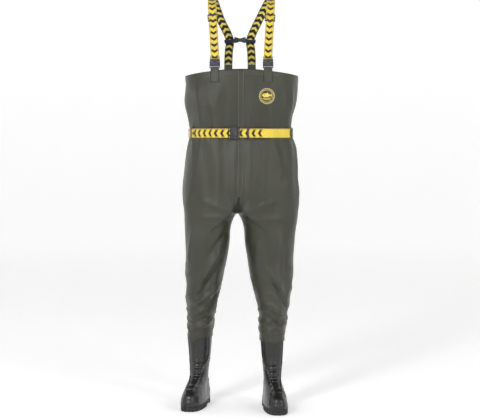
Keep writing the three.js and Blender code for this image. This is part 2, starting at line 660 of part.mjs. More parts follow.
function addCrosspiece() {
  const windowHalf = STRAP_WIDTH / 2 + 1.2;
  const railHalf = windowHalf + 4;
  const windowDeep = 2.4;
  const barDeep = windowDeep + 2.2;
  const halfHeight = 7;
  const solids = [-1, 1].map((sign) => {
    const path = strapPath(sign);
    const target = vec(BACK_MIDDLE_X + sign * CROSSING_HALF_SPACING, CROSSING_Y, CROSSING_HEIGHT);
    let nearest = 1;
    path.forEach((point, i) => {
      if (point.distanceTo(target) < path[nearest].distanceTo(target)) nearest = i;
    });
    const { along, across, face } = ribbonFrame(path[nearest + 1].clone().sub(path[nearest - 1]));
    const loop = block([-railHalf, -barDeep, -halfHeight], [railHalf, barDeep, halfHeight])
      .subtract(block([-windowHalf, -windowDeep, -halfHeight - 1], [windowHalf, windowDeep, halfHeight + 1]));
    const turned = geometryOf(loop).applyMatrix4(new THREE.Matrix4().makeBasis(across, face, across.clone().cross(face)));
    turned.translate(path[nearest].x, path[nearest].y, path[nearest].z);
    return solidOf(turned);
  });
  // The bow tie between the loops, narrow in the middle.
  const reach = CROSSING_HALF_SPACING - windowHalf - 1.2;
  const outline = new THREE.Shape([
    [-reach, -13], [-reach * 0.55, -11], [0, -6.5], [reach * 0.55, -11], [reach, -13],
    [reach, 13], [reach * 0.55, 11], [0, 6.5], [-reach * 0.55, 11], [-reach, 13],
  ].map(([x, y]) => new THREE.Vector2(x, y)));
  const plate = new THREE.ExtrudeGeometry(outline, { depth: 4, bevelEnabled: false });
  plate.rotateX(Math.PI / 2);
  plate.translate(BACK_MIDDLE_X, CROSSING_Y + 2, CROSSING_HEIGHT);
  add("back_crosspiece", geometryOf(joined([...solids, solidOf(plate)])), BUCKLE_PLASTIC);
}

// A tri-glide: the webbing passes behind its middle bar and in front of its end bars.
function sliderSolid(width, thickness) {
  const slotHalf = width / 2 + 1;
  const railHalf = slotHalf + 3;
  const near = thickness / 2 + 0.6;
  const far = near + 2;
  const reach = 15;
  const bar = 5;
  return joined([
    block([-railHalf, -far, -reach], [-slotHalf, far, reach]),
    block([slotHalf, -far, -reach], [railHalf, far, reach]),
    block([-slotHalf - 1, near, -reach], [slotHalf + 1, far, -reach + bar]),
    block([-slotHalf - 1, near, reach - bar], [slotHalf + 1, far, reach]),
    block([-slotHalf - 1, -far, -bar / 2 - 1], [slotHalf + 1, -near, bar / 2 + 1]),
  ]);
}

function addStrapSlider(name, sign) {
  const path = strapPath(sign);
  const top = vec(sign * STRAIGHT_TOP[0], STRAIGHT_TOP[1], STRAIGHT_TOP[2]);
  const foot = path.find((point) => point.z > BUCKLE_MOUTH_HEIGHT + PRONG_LENGTH + 9 && point.y < BUCKLE_Y);
  const middle = foot.clone().lerp(top, (STRAP_SLIDER_HEIGHT - foot.z) / (top.z - foot.z));
  const { along, across, face } = ribbonFrame(top.clone().sub(foot));
  const mesh = add(name, geometryOf(sliderSolid(STRAP_WIDTH, STRAP_THICKNESS)), BUCKLE_PLASTIC);
  const frontFace = face.y < 0 ? face.clone() : face.clone().negate();
  mesh.quaternion.setFromRotationMatrix(new THREE.Matrix4().makeBasis(across, frontFace, across.clone().cross(frontFace)));
  mesh.position.copy(middle);
}

function addBeltSlider() {
  const mesh = add("belt_slider", geometryOf(sliderSolid(BELT_WIDTH, BELT_THICKNESS)), BUCKLE_PLASTIC);
  mesh.position.set(BELT_SLIDER_X, BELT_FRONT_Y, WAIST_HEIGHT);
  mesh.rotation.y = -Math.PI / 2;
}

// ---------------------------------------------------------------- legs
// The leg's lowest two rings fit over the boot's top.
const BOOT_COVER = FABRIC_WALL + 2 * CLEARANCE;
const BOOT_TOP_HALF_WIDTH = BOOT_HALF_WIDTHS[BOOT_HALF_WIDTHS.length - 1];
const BOOT_TOP_HALF_DEPTH = (HEEL_REACH[HEEL_REACH.length - 1] + TOE_REACH[TOE_REACH.length - 1]) / 2;
function overBoot(values, end) {
  const above = curveThrough(LEG_HEIGHTS, [...values, end]);
  return (height) => (height > BOOT_TOP_HEIGHT ? above(height) : end);
}

const legHalfDepthAt = overBoot(LEG_HALF_DEPTHS, BOOT_TOP_HALF_DEPTH + BOOT_COVER);

function legRing(side, height) {
  const { sign, legMiddleX, legMiddleY, legHalfWidths, ankle, toeOut } = SIDES[side];
  const middle = vec(overBoot(legMiddleX, ankle[0])(height), overBoot(legMiddleY, ankle[1])(height), height);
  const a = overBoot(legHalfWidths, BOOT_TOP_HALF_WIDTH + BOOT_COVER)(height);
  const b = legHalfDepthAt(height);
  const share = clamp01((KNEE_HEIGHT - height) / (KNEE_HEIGHT - BOOT_TOP_HEIGHT));
  const twist = THREE.MathUtils.degToRad(sign * toeOut * share);
  return Array.from({ length: LEG_FACETS }, (_, i) => {
    const turn = (2 * Math.PI * i) / LEG_FACETS;
    const c = Math.cos(turn);
    const s = Math.sin(turn);
    const reach = (Math.abs(c) ** LEG_SQUARENESS + Math.abs(s) ** LEG_SQUARENESS) ** (-1 / LEG_SQUARENESS);
    return vec(a * c * reach, b * s * reach, 0).applyAxisAngle(vec(0, 0, 1), twist).add(middle);
  });
}

// An open tube of fabric from its outer rings, lowest first.
function fabricTube(outerRings) {
  const innerRings = outerRings.map((ring) => grown(ring, -FABRIC_WALL));
  return loft([...outerRings, ...innerRings.reverse()], "loop");
}

const levels = (low, high, count) => Array.from({ length: count }, (_, i) => mix(low, high, i / (count - 1)));

// The hip runs from one half of the body's outline, closed by a line at the crotch, into the round leg.
function hipRings(side) {
  const { sign } = SIDES[side];
  const legTop = legRing(side, LEG_TOP_HEIGHT);
  const quarter = LEG_FACETS / 4;
  const bodyOutline = legTop.map((_, i) => {
    const turn = i > LEG_FACETS / 2 ? i - LEG_FACETS : i;
    const outside = sign > 0 ? Math.abs(turn) <= quarter : Math.abs(turn) >= quarter;
    const angle = (2 * Math.PI * turn) / LEG_FACETS;
    if (outside) {
      const point = bodyPoint(angle, BODY_BOTTOM_HEIGHT, 0);
      if (Math.abs(turn) === quarter) point.x = CROTCH_X + sign * CLEARANCE;
      return point;
    }
    const front = bodyPoint(FRONT, BODY_BOTTOM_HEIGHT, 0).y;
    const y = -front * Math.sin(angle);
    const dip = (BODY_BOTTOM_HEIGHT - CROTCH_HEIGHT) * Math.cos(angle) ** 2;
    return vec(CROTCH_X + sign * CLEARANCE, y, BODY_BOTTOM_HEIGHT - dip);
  });
  return levels(0, 1, 6).map((share) =>
    legTop.map((leg, i) => {
      const high = bodyOutline[i].clone();
      high.z -= CLEARANCE;
      const low = leg.clone();
      low.z += CLEARANCE;
      const moved = ease(share);
      return vec(mix(low.x, high.x, moved), mix(low.y, high.y, moved), mix(low.z, high.z, share));
    }),
  );
}

function addLeg(side) {
  const section = (low, high, count) => fabricTube(levels(low, high, count).map((height) => legRing(side, height)));
  add(`${side}_hip_fabric`, fabricTube(hipRings(side)), OLIVE);
  add(`${side}_thigh_fabric`, section(KNEE_TOP_HEIGHT, LEG_TOP_HEIGHT, 4), OLIVE);
  add(`${side}_knee_fabric`, section(KNEE_BOTTOM_HEIGHT + CLEARANCE, KNEE_TOP_HEIGHT - CLEARANCE, 4), OLIVE);
  add(`${side}_shin_fabric`, section(LEG_BOTTOM_HEIGHT, KNEE_BOTTOM_HEIGHT, 4), OLIVE);
}

// ---------------------------------------------------------------- boots
const heelAt = curveThrough(BOOT_HEIGHTS, HEEL_REACH);
const toeAt = curveThrough(BOOT_HEIGHTS, TOE_REACH);
const bootHalfWidthAt = curveThrough(BOOT_HEIGHTS, BOOT_HALF_WIDTHS);

// A ring of the boot, in the boot's own frame: the toe points to -Y and the ankle's middle is at x = y = 0.
function bootRing(height, offset, facets = BOOT_FACETS) {
  const half = (heelAt(height) + toeAt(height)) / 2 + offset;
  const middle = (heelAt(height) - toeAt(height)) / 2;
  const width = bootHalfWidthAt(height) + offset;
  const rise = clamp01((height - SOLE_THICKNESS) / (INSTEP_HEIGHT - SOLE_THICKNESS));
  const squareness = mix(FOOT_SQUARENESS, LEG_SQUARENESS, ease(rise));
  return Array.from({ length: facets }, (_, i) => {
    const turn = (2 * Math.PI * i) / facets;
    const c = Math.cos(turn);
    const s = Math.sin(turn);
    const reach = (Math.abs(c) ** squareness + Math.abs(s) ** squareness) ** (-1 / squareness);
    return vec(width * c * reach, middle + half * s * reach, height);
  });
}

function bootUpper() {
  const floor = SOLE_THICKNESS + BOOT_WALL;
  const innerHeights = [...BOOT_HEIGHTS.slice(1).reverse(), floor];
  const outer = BOOT_HEIGHTS.map((height) => bootRing(height, 0));
  const inner = innerHeights.map((height) => bootRing(height, -BOOT_WALL));
  return loft([...outer, ...inner], "fan");
}

function outsole() {
  const top = SOLE_THICKNESS - CLEARANCE;
  const edge = (height, offset) => bootRing(SOLE_THICKNESS, offset).map((point) => vec(point.x, point.y, height));
  let sole = solidOf(loft([edge(0, SOLE_WELT - 3), edge(8, SOLE_WELT), edge(top, SOLE_WELT)], "fan"));
  const wide = 80;
  const archFront = -62;
  const archBack = 6;
  sole = sole.subtract(block([-wide, archFront, -1], [wide, archBack, ARCH_DEPTH]));
  for (let y = archFront - GROOVE_PITCH; y > -TOE_REACH[0] + GROOVE_PITCH; y -= GROOVE_PITCH) {
    sole = sole.subtract(block([-wide, y - GROOVE_WIDTH / 2, -1], [wide, y + GROOVE_WIDTH / 2, GROOVE_DEPTH]));
  }
  for (let y = archBack + GROOVE_PITCH; y < HEEL_REACH[0] - GROOVE_PITCH / 2; y += GROOVE_PITCH) {
    sole = sole.subtract(block([-wide, y - GROOVE_WIDTH / 2, -1], [wide, y + GROOVE_WIDTH / 2, GROOVE_DEPTH]));
  }
  return geometryOf(sole);
}

function insole() {
  const low = SOLE_THICKNESS + BOOT_WALL + CLEARANCE;
  const inset = -BOOT_WALL - CLEARANCE - 0.4;
  const rings = [low, low + INSOLE_THICKNESS].map((height) => bootRing(height, inset));
  return loft(rings, "fan");
}

function heelGuard() {
  const heights = [SOLE_THICKNESS, 45, 65, 85, HEEL_GUARD_TOP - 6, HEEL_GUARD_TOP];
  const thickness = [1, 1, 1, 1, 2, 2].map((share) => share * HEEL_GUARD_THICKNESS);
  const first = 5;
  const last = 11;
  const sections = heights.map((height, i) => {
    const inner = bootRing(height, HEEL_GUARD_GAP).slice(first, last + 1);
    const outer = bootRing(height, HEEL_GUARD_GAP + thickness[i]).slice(first, last + 1);
    return [...outer, ...inner.reverse()];
  });
  return loft(sections, "strip");
}

function addBoot(side) {
  const { sign, ankle, toeOut } = SIDES[side];
  const pieces = [
    [`${side}_boot_upper`, bootUpper(), BOOT_RUBBER],
    [`${side}_outsole`, outsole(), SOLE_RUBBER],
    [`${side}_insole`, insole(), LINING],
    [`${side}_heel_guard`, heelGuard(), SOLE_RUBBER],
  ];
  for (const [name, geometry, look] of pieces) {
    const mesh = add(name, geometry, look);
    mesh.position.set(ankle[0], ankle[1], 0);
    mesh.rotation.z = THREE.MathUtils.degToRad(sign * toeOut);
  }
}

// ---------------------------------------------------------------- assembly
addBodyPanels();
addSeamTapes();
addTopHem();
addGusset();
addEmblem();
addBelt();
addBeltLoops();
addBuckle("belt", beltBuckleWidth, vec(BELT_BUCKLE_X, BELT_FRONT_Y, WAIST_HEIGHT), -Math.PI / 2);
addBeltSlider();
for (const side of ["left", "right"]) {
  const { sign } = SIDES[side];
  addFrontTab(`${side}_front_tab`, sign);
  addBackTab(`${side}_back_tab`, sign);
  addBuckle(side, strapBuckleWidth, vec(sign * BUCKLE_X, BUCKLE_Y, BUCKLE_MOUTH_HEIGHT), 0);
  add(`${side}_strap`, ribbon(strapPath(sign), STRAP_WIDTH, STRAP_THICKNESS), YELLOW_ELASTIC);
  addStrapSlider(`${side}_strap_slider`, sign);
  addLeg(side);
  addBoot(side);
}
addCrosspiece();

export default suit;
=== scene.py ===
# Chest waders: the visual model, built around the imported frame. Metres, +Z up, the wearer faces -Y.
# The frame's origin is the middle of the chest opening, so heights above the ground are z - GROUND.
import json
import math

import bmesh
import bpy
import numpy as np
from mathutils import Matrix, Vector, noise
from mathutils.bvhtree import BVHTree


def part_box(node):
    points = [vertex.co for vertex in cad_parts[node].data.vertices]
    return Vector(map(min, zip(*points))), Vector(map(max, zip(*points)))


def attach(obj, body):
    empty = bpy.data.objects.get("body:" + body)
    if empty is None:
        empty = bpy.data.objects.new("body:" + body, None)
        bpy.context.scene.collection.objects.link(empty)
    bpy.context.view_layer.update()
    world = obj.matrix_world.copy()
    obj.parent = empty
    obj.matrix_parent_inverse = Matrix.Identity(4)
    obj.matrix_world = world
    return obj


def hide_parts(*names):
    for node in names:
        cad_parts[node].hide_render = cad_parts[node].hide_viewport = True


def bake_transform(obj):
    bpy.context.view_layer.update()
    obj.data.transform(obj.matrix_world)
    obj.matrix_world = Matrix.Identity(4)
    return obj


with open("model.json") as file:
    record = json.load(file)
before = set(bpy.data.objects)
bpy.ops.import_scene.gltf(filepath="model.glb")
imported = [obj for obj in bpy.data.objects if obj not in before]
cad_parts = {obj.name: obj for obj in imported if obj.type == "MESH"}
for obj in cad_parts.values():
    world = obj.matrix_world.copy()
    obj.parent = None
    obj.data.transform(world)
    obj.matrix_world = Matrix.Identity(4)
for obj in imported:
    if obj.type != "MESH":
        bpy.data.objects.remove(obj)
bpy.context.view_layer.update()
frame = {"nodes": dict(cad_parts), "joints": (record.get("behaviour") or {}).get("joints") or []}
SIGNS = {"left": 1, "right": -1}


# ------------------------------------------------------------------ places taken from the frame
def joint_place(name):
    return next(j for j in frame["joints"] if j["name"] == name)["pos_m"]


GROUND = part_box("left_outsole")[0].z
PANEL_LOW, PANEL_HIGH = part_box("left_body_panel")
HALF_WIDTH = PANEL_HIGH.x
CHEST_HALF_DEPTH = PANEL_HIGH.y
BACK_HEM = PANEL_HIGH.z
CROTCH_LEVEL = PANEL_LOW.z
BELT_LOW, BELT_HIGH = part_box("belt_webbing")
BELT_Z = (BELT_LOW.z + BELT_HIGH.z) / 2
BELT_WIDTH = BELT_HIGH.z - BELT_LOW.z
KNEE_LEVEL = {side: joint_place(side + "_knee")[2] for side in SIGNS}
BUCKLE_PLANE = joint_place("belt_squeeze_a")[1]
BUCKLE_Y = joint_place("left_squeeze_a")[1]
THIGH_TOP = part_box("left_thigh_fabric")[1].z


# ------------------------------------------------------------------ camera, light and floor
def placed(name, data):
    made = bpy.data.objects.new(name, data)
    bpy.context.scene.collection.objects.link(made)
    return made


def aimed(thing, place, aim):
    thing.location = place
    thing.rotation_euler = (Vector(aim) - Vector(place)).to_track_quat("-Z", "Y").to_euler()


def add_camera():
    data = bpy.data.cameras.new("camera")
    data.sensor_width = 36
    data.lens = 107.2
    camera = placed("camera", data)
    aimed(camera, (0.0, -6.0, GROUND + 1.14), (-0.006, 0.0, GROUND + 0.823))
    bpy.context.scene.camera = camera


def add_area_light(name, place, size, power):
    """A tall panel lamp, aimed at the middle of the suit."""
    data = bpy.data.lights.new(name, "AREA")
    data.shape = "RECTANGLE"
    data.size, data.size_y = size
    data.energy = power
    aimed(placed(name, data), place, (0.0, 0.0, GROUND + 0.9))


def add_stage():
    world = bpy.data.worlds.new("studio")
    bpy.context.scene.world = world
    world.use_nodes = True
    background = world.node_tree.nodes["Background"]
    background.inputs["Color"].default_value = (1.0, 1.0, 1.0, 1.0)
    background.inputs["Strength"].default_value = 0.15
    bpy.context.scene.view_settings.view_transform = "Standard"
    add_area_light("key", (-2.0, -4.2, GROUND + 3.0), (0.7, 2.4), 104)
    add_area_light("fill", (2.8, -3.6, GROUND + 2.2), (0.7, 2.4), 42)
    add_area_light("left_rim", (-3.2, 1.9, GROUND + 1.8), (1.0, 2.6), 5)
    add_area_light("right_rim", (3.2, 1.9, GROUND + 1.8), (1.0, 2.6), 5)
    # A pale round floor that rises into a backdrop on every side in one smooth sweep.
    bend, wall, wall_height, turns = 3.0, 12.0, 12.0, 72
    profile = [(r, 0.0) for r in (1.5, 3.0, 6.0, wall - bend)]
    profile += [(wall - bend + bend * math.sin(a), bend - bend * math.cos(a))
                for a in np.linspace(0, math.pi / 2, 13)[1:]]
    profile += [(wall, wall_height)]
    verts = [(r * math.cos(2 * math.pi * k / turns), r * math.sin(2 * math.pi * k / turns), GROUND - 0.0005 + z)
             for r, z in profile for k in range(turns)]
    faces = [tuple(reversed(f)) for f in grid_faces(len(profile), turns, wrap=True)]
    faces.append(tuple(range(turns)))
    material, _, shader = new_material("studio_paper")
    shader.inputs["Base Color"].default_value = (0.9, 0.9, 0.9, 1)
    shader.inputs["Emission Color"].default_value = (1, 1, 1, 1)
    shader.inputs["Emission Strength"].default_value = 0.34
    shader.inputs["Roughness"].default_value = 0.9
    new_object("studio_floor", verts, faces, [material])


# ------------------------------------------------------------------ materials
THREAD_PITCH = 0.0011
RIB_PITCH = 0.0013
YARNS = 30


def new_material(name):
    material = bpy.data.materials.new(name)
    material.use_nodes = True
    tree = material.node_tree
    return material, tree, tree.nodes["Principled BSDF"]


def node(tree, kind, **values):
    made = tree.nodes.new(kind)
    for key, value in values.items():
        if hasattr(made, key):
            setattr(made, key, value)
        else:
            made.inputs[key.replace("_", " ")].default_value = value
    return made


def math_node(tree, operation, *inputs):
    made = tree.nodes.new("ShaderNodeMath")
    made.operation = operation
    for i, value in enumerate(inputs):
        if isinstance(value, (int, float)):
            made.inputs[i].default_value = value
        else:
            tree.links.new(value, made.inputs[i])
    return made.outputs[0]


def arithmetic(tree):
    """math_node for one tree, so that a sum reads in one line."""
    return lambda operation, *inputs: math_node(tree, operation, *inputs)


def place_on(tree):
    """The place in the frame, in metres, split into X, Y and Z."""
    split = tree.nodes.new("ShaderNodeSeparateXYZ")
    tree.links.new(tree.nodes.new("ShaderNodeTexCoord").outputs["Object"], split.inputs[0])
    return split.outputs


def ranged(tree, source, low, high, start=0.0, end=1.0, smooth=False):
    """source between low and high, as a number between start and end."""
    made = node(tree, "ShaderNodeMapRange", From_Min=low, From_Max=high, To_Min=start, To_Max=end)
    if smooth:
        made.interpolation_type = "SMOOTHSTEP"
    tree.links.new(source, made.inputs[0])
    return made.outputs[0]


def noise_node(tree, scale, detail=2.0, roughness=0.5):
    made = node(tree, "ShaderNodeTexNoise", Scale=scale, Detail=detail, Roughness=roughness)
    tree.links.new(tree.nodes.new("ShaderNodeTexCoord").outputs["Object"], made.inputs["Vector"])
    return made.outputs["Fac"]


def ramp(tree, source, stops):
    made = tree.nodes.new("ShaderNodeValToRGB")
    elements = made.color_ramp.elements
    while len(elements) < len(stops):
        elements.new(0.5)
    for element, (position, colour) in zip(elements, stops):
        element.position = position
        element.color = (*colour, 1)
    tree.links.new(source, made.inputs[0])
    return made.outputs[0]


def mix_colour(tree, factor, a, b):
    made = tree.nodes.new("ShaderNodeMix")
    made.data_type = "RGBA"
    for value, socket in ((factor, made.inputs[0]), (a, made.inputs[6]), (b, made.inputs[7])):
        if isinstance(value, tuple):
            socket.default_value = (*value, 1)
        elif isinstance(value, (int, float)):
            socket.default_value = value
        else:
            tree.links.new(value, socket)
    return made.outputs[2]


def bump(tree, shader, height, distance, strength=1.0, under=None):
    made = tree.nodes.new("ShaderNodeBump")
    made.inputs["Distance"].default_value = distance
    made.inputs["Strength"].default_value = strength
    tree.links.new(height, made.inputs["Height"])
    if under is not None:
        tree.links.new(under, made.inputs["Normal"])
    tree.links.new(made.outputs[0], shader.inputs["Normal"])
    return made.outputs[0]


def toned(name, tone, stops, scuff, low_rough, high_rough):
    """A material whose colour and roughness drift. tone and scuff are each a noise's scale, detail and roughness."""
    material, tree, shader = new_material(name)
    tree.links.new(ramp(tree, noise_node(tree, *tone), stops), shader.inputs["Base Color"])
    rough = ranged(tree, noise_node(tree, *scuff), 0, 1, low_rough, high_rough)
    tree.links.new(rough, shader.inputs["Roughness"])
    return material, tree, shader


def coated_fabric(name, dark, light, low_rough, high_rough, weave=0.00012):
    """PVC-coated polyester: a fine square weave under a satin film, with faint cloudy tone changes."""
    material, tree, shader = toned(name, (5.0, 4.0, 0.6), [(0.3, dark), (0.72, light)], (38.0, 3.0, 0.6),
                                   low_rough, high_rough)
    sum_of = arithmetic(tree)
    x, _, z = place_on(tree)
    threads = 2 * math.pi / THREAD_PITCH
    across, up = (sum_of("SINE", sum_of("MULTIPLY", way, threads)) for way in (x, z))
    cloth = bump(tree, shader, sum_of("MULTIPLY", across, up), weave, 0.5)
    bump(tree, shader, noise_node(tree, 160.0, 3.0, 0.6), 0.0006, 0.35, cloth)
    shader.inputs["Specular IOR Level"].default_value = 0.32
    return material


def paint_inseam_shadow(material):
    """Paints shade into the suit's cloth colour round the crotch and down the inside of the legs: a painted shadow,
    near-black, where the legs shade each other.
    """
    tree = material.node_tree
    shader = tree.nodes["Principled BSDF"]
    base = shader.inputs["Base Color"].links[0].from_socket
    sum_of = arithmetic(tree)
    x, _, z = place_on(tree)
    depth = sum_of("SUBTRACT", CROTCH_LEVEL, z)
    # How far the opening between the legs reaches to each side, at this depth under the crotch.
    reach = sum_of("ADD", sum_of("MULTIPLY", sum_of("MAXIMUM", depth, 0.0), 0.17), 0.013)
    beside = sum_of("ABSOLUTE", sum_of("SUBTRACT", x, CROTCH_X + 0.002))
    near = ranged(tree, sum_of("SUBTRACT", beside, reach), 0.0, 0.014, 1.0, 0.0, smooth=True)
    above = ranged(tree, depth, -0.034, 0.004, smooth=True)
    below = ranged(tree, depth, 0.08, 0.24, 0.92, 0.0, smooth=True)
    share = sum_of("MULTIPLY", sum_of("MULTIPLY", near, above), below)
    # The painted shadow: the cloth's colour is mixed towards near-black where the mask is high.
    tree.links.new(mix_colour(tree, share, base, (0.005, 0.005, 0.004)), shader.inputs["Base Color"])


def moulded_rubber(name, dark, light, low_rough, high_rough):
    material, tree, shader = toned(name, (9.0, 4.0, 0.6), [(0.3, dark), (0.75, light)], (60.0, 4.0, 0.7),
                                   low_rough, high_rough)
    bump(tree, shader, noise_node(tree, 900.0, 2.0, 0.6), 0.00025, 0.35)
    return material


def moulded_plastic(name, dark, light, low_rough=0.32, high_rough=0.48):
    material, tree, shader = toned(name, (120.0, 3.0, 0.6), [(0.3, dark), (0.75, light)], (400.0, 2.0, 0.6),
                                   low_rough, high_rough)
    bump(tree, shader, noise_node(tree, 2600.0, 2.0, 0.6), 0.00006, 0.4)
    return material


def webbing(name, face, mark, back, back_mark, pitch):
    """Woven elastic: ribs across the band. U is 0 to 1 across the outer face and 2 to 3 across the back, V is
    the length in metres, and the attribute "marks" says where the woven pattern lies."""
    material, tree, shader = new_material(name)
    sum_of = arithmetic(tree)
    split = tree.nodes.new("ShaderNodeSeparateXYZ")
    tree.links.new(tree.nodes.new("ShaderNodeUVMap").outputs[0], split.inputs[0])
    u, v = split.outputs[0], split.outputs[1]
    is_back = sum_of("GREATER_THAN", u, 1.5)
    # The pattern: chevrons down the middle between two dashed lines.
    off_middle = sum_of("ABSOLUTE", sum_of("SUBTRACT", sum_of("FRACT", u), 0.5))
    repeat = sum_of("DIVIDE", v, pitch)
    slant = sum_of("SUBTRACT", repeat, sum_of("MULTIPLY", off_middle, 0.9))
    chevron = sum_of("LESS_THAN", sum_of("FRACT", slant), 0.42)
    inside = sum_of("LESS_THAN", off_middle, 0.34)
    on_line = sum_of("LESS_THAN", sum_of("ABSOLUTE", sum_of("SUBTRACT", off_middle, 0.405)), 0.022)
    dash = sum_of("LESS_THAN", sum_of("ABSOLUTE", sum_of("SUBTRACT", sum_of("FRACT", repeat), 0.5)), 0.30)
    shape = sum_of("MAXIMUM", sum_of("MULTIPLY", chevron, inside), sum_of("MULTIPLY", on_line, dash))
    zone = node(tree, "ShaderNodeAttribute", attribute_name="marks").outputs["Fac"]
    marked = sum_of("MULTIPLY", shape, sum_of("GREATER_THAN", zone, 0.5))
    worn = sum_of("MULTIPLY", marked, ranged(tree, noise_node(tree, 700.0, 2.0, 0.6), 0.22, 0.34))
    mottled = ramp(tree, noise_node(tree, 220.0, 3.0, 0.6), [(0.25, tuple(0.86 * c for c in face)), (0.8, face)])
    back_mottled = ramp(tree, noise_node(tree, 300.0, 2.0, 0.6), [(0.3, tuple(0.7 * c for c in back)), (0.8, back)])
    colour = mix_colour(tree, is_back, mix_colour(tree, worn, mottled, mark),
                        mix_colour(tree, worn, back_mottled, back_mark))
    tree.links.new(colour, shader.inputs["Base Color"])
    ribs = sum_of("SINE", sum_of("MULTIPLY", v, 2 * math.pi / RIB_PITCH))
    yarns = sum_of("SINE", sum_of("MULTIPLY", u, 2 * math.pi * YARNS))
    cloth = bump(tree, shader, sum_of("ADD", sum_of("MULTIPLY", ribs, yarns), ribs), 0.00016, 0.6)
    bump(tree, shader, noise_node(tree, 1500.0, 2.0, 0.7), 0.0002, 0.4, cloth)
    shader.inputs["Roughness"].default_value = 0.8
    shader.inputs["Sheen Weight"].default_value = 0.25
    shader.inputs["Sheen Roughness"].default_value = 0.4
    return material


OLIVE = coated_fabric("olive_coated_fabric", (0.034, 0.035, 0.024), (0.045, 0.046, 0.033), 0.27, 0.40)
OLIVE_TAPE = coated_fabric("olive_welded_tape", (0.037, 0.038, 0.027), (0.049, 0.050, 0.037), 0.27, 0.38)
# A lighter olive for the weld ridges on the seam tapes: painted highlight along each ridge.
OLIVE_RIDGE_HIGHLIGHT = coated_fabric("olive_weld_ridge_painted_highlight", (0.085, 0.086, 0.066), (0.110, 0.111, 0.086), 0.22, 0.30)
LINING = coated_fabric("grey_lining", (0.020, 0.021, 0.019), (0.030, 0.031, 0.028), 0.8, 0.95)
BOOT = moulded_rubber("boot_rubber", (0.010, 0.010, 0.0095), (0.016, 0.016, 0.015), 0.22, 0.36)
SOLE = moulded_rubber("sole_rubber", (0.012, 0.012, 0.012), (0.021, 0.021, 0.020), 0.5, 0.7)
# Near-black rubber for the crotch gusset: partly a real patch, partly painted shade under the crotch.
GUSSET_AND_PAINTED_SHADE = moulded_rubber("gusset_rubber_and_painted_shade", (0.007, 0.007, 0.006), (0.012, 0.012, 0.010), 0.8, 0.95)
FELT = coated_fabric("insole_felt", (0.12, 0.115, 0.10), (0.18, 0.17, 0.15), 0.9, 1.0, 0.0003)
BUCKLE = moulded_plastic("slate_plastic", (0.016, 0.017, 0.024), (0.026, 0.027, 0.037))
RELEASE = moulded_plastic("release_plastic", (0.030, 0.032, 0.040), (0.045, 0.047, 0.058))
YELLOW = webbing("yellow_black_elastic", (0.74, 0.56, 0.070), (0.012, 0.011, 0.010), (0.012, 0.011, 0.012),
                 (0.72, 0.58, 0.10), 0.026)
THREAD = moulded_plastic("olive_thread", (0.10, 0.10, 0.075), (0.15, 0.15, 0.11), 0.7, 0.9)
THREAD_DARK = moulded_plastic("dark_thread", (0.018, 0.017, 0.015), (0.03, 0.028, 0.025), 0.7, 0.9)
PRINT_YELLOW = moulded_plastic("print_yellow", (0.70, 0.50, 0.055), (0.82, 0.62, 0.09), 0.5, 0.65)
PRINT_CREAM = moulded_plastic("print_cream", (0.60, 0.50, 0.16), (0.74, 0.62, 0.24), 0.5, 0.65)
PRINT_DARK = moulded_plastic("print_dark", (0.022, 0.021, 0.016), (0.032, 0.030, 0.024), 0.5, 0.65)


# ------------------------------------------------------------------ mesh helpers
def new_object(name, verts, faces, materials, indices=None):
    mesh = bpy.data.meshes.new(name)
    mesh.from_pydata([tuple(map(float, v)) for v in verts], [], [tuple(map(int, f)) for f in faces])
    for material in materials:
        mesh.materials.append(material)
    mesh.polygons.foreach_set("use_smooth", [True] * len(mesh.polygons))
    if indices is not None:
        mesh.polygons.foreach_set("material_index", indices)
    mesh.update()
    return placed(name, mesh)


def dressed(piece, body, slot, *replaced):
    """Rides a piece on a body, and hides the CAD nodes that it stands for. slot is not used."""
    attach(piece, body)
    if replaced:
        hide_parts(*replaced)
    return piece


def grid_faces(rows, columns, wrap=False, start=0):
    last = columns if wrap else columns - 1
    return [(start + r * columns + c, start + r * columns + (c + 1) % columns,
             start + (r + 1) * columns + (c + 1) % columns, start + (r + 1) * columns + c)
            for r in range(rows - 1) for c in range(last)]


def end_faces(rows, ring, start=0):
    """One face over each end of a tube of rings."""
    last = start + (rows - 1) * ring
    return [tuple(start + i for i in reversed(range(ring))), tuple(last + i for i in range(ring))]


def unit(vectors):
    return vectors / np.maximum(np.linalg.norm(vectors, axis=-1, keepdims=True), 1e-12)


def row_of(*numbers):
    return np.array(numbers, float)


RIGHT, BACKWARD, UP = row_of(1, 0, 0), row_of(0, 1, 0), row_of(0, 0, 1)


def smoothstep(f):
    f = np.clip(f, 0.0, 1.0)
    return f * f * (3 - 2 * f)


def through(places, values):
    """A smooth function of height through values given at rising heights."""
    xs = np.array(places, float)
    ys = np.array(values, float)
    slopes = np.gradient(ys, xs)

    def curve(x):
        x = np.clip(np.asarray(x, float), xs[0], xs[-1])
        i = np.clip(np.searchsorted(xs, x) - 1, 0, len(xs) - 2)
        span = xs[i + 1] - xs[i]
        f = (x - xs[i]) / span
        return ((2 * f**3 - 3 * f**2 + 1) * ys[i] + (f**3 - 2 * f**2 + f) * span * slopes[i]
                + (3 * f**2 - 2 * f**3) * ys[i + 1] + (f**3 - f**2) * span * slopes[i + 1])
    return curve


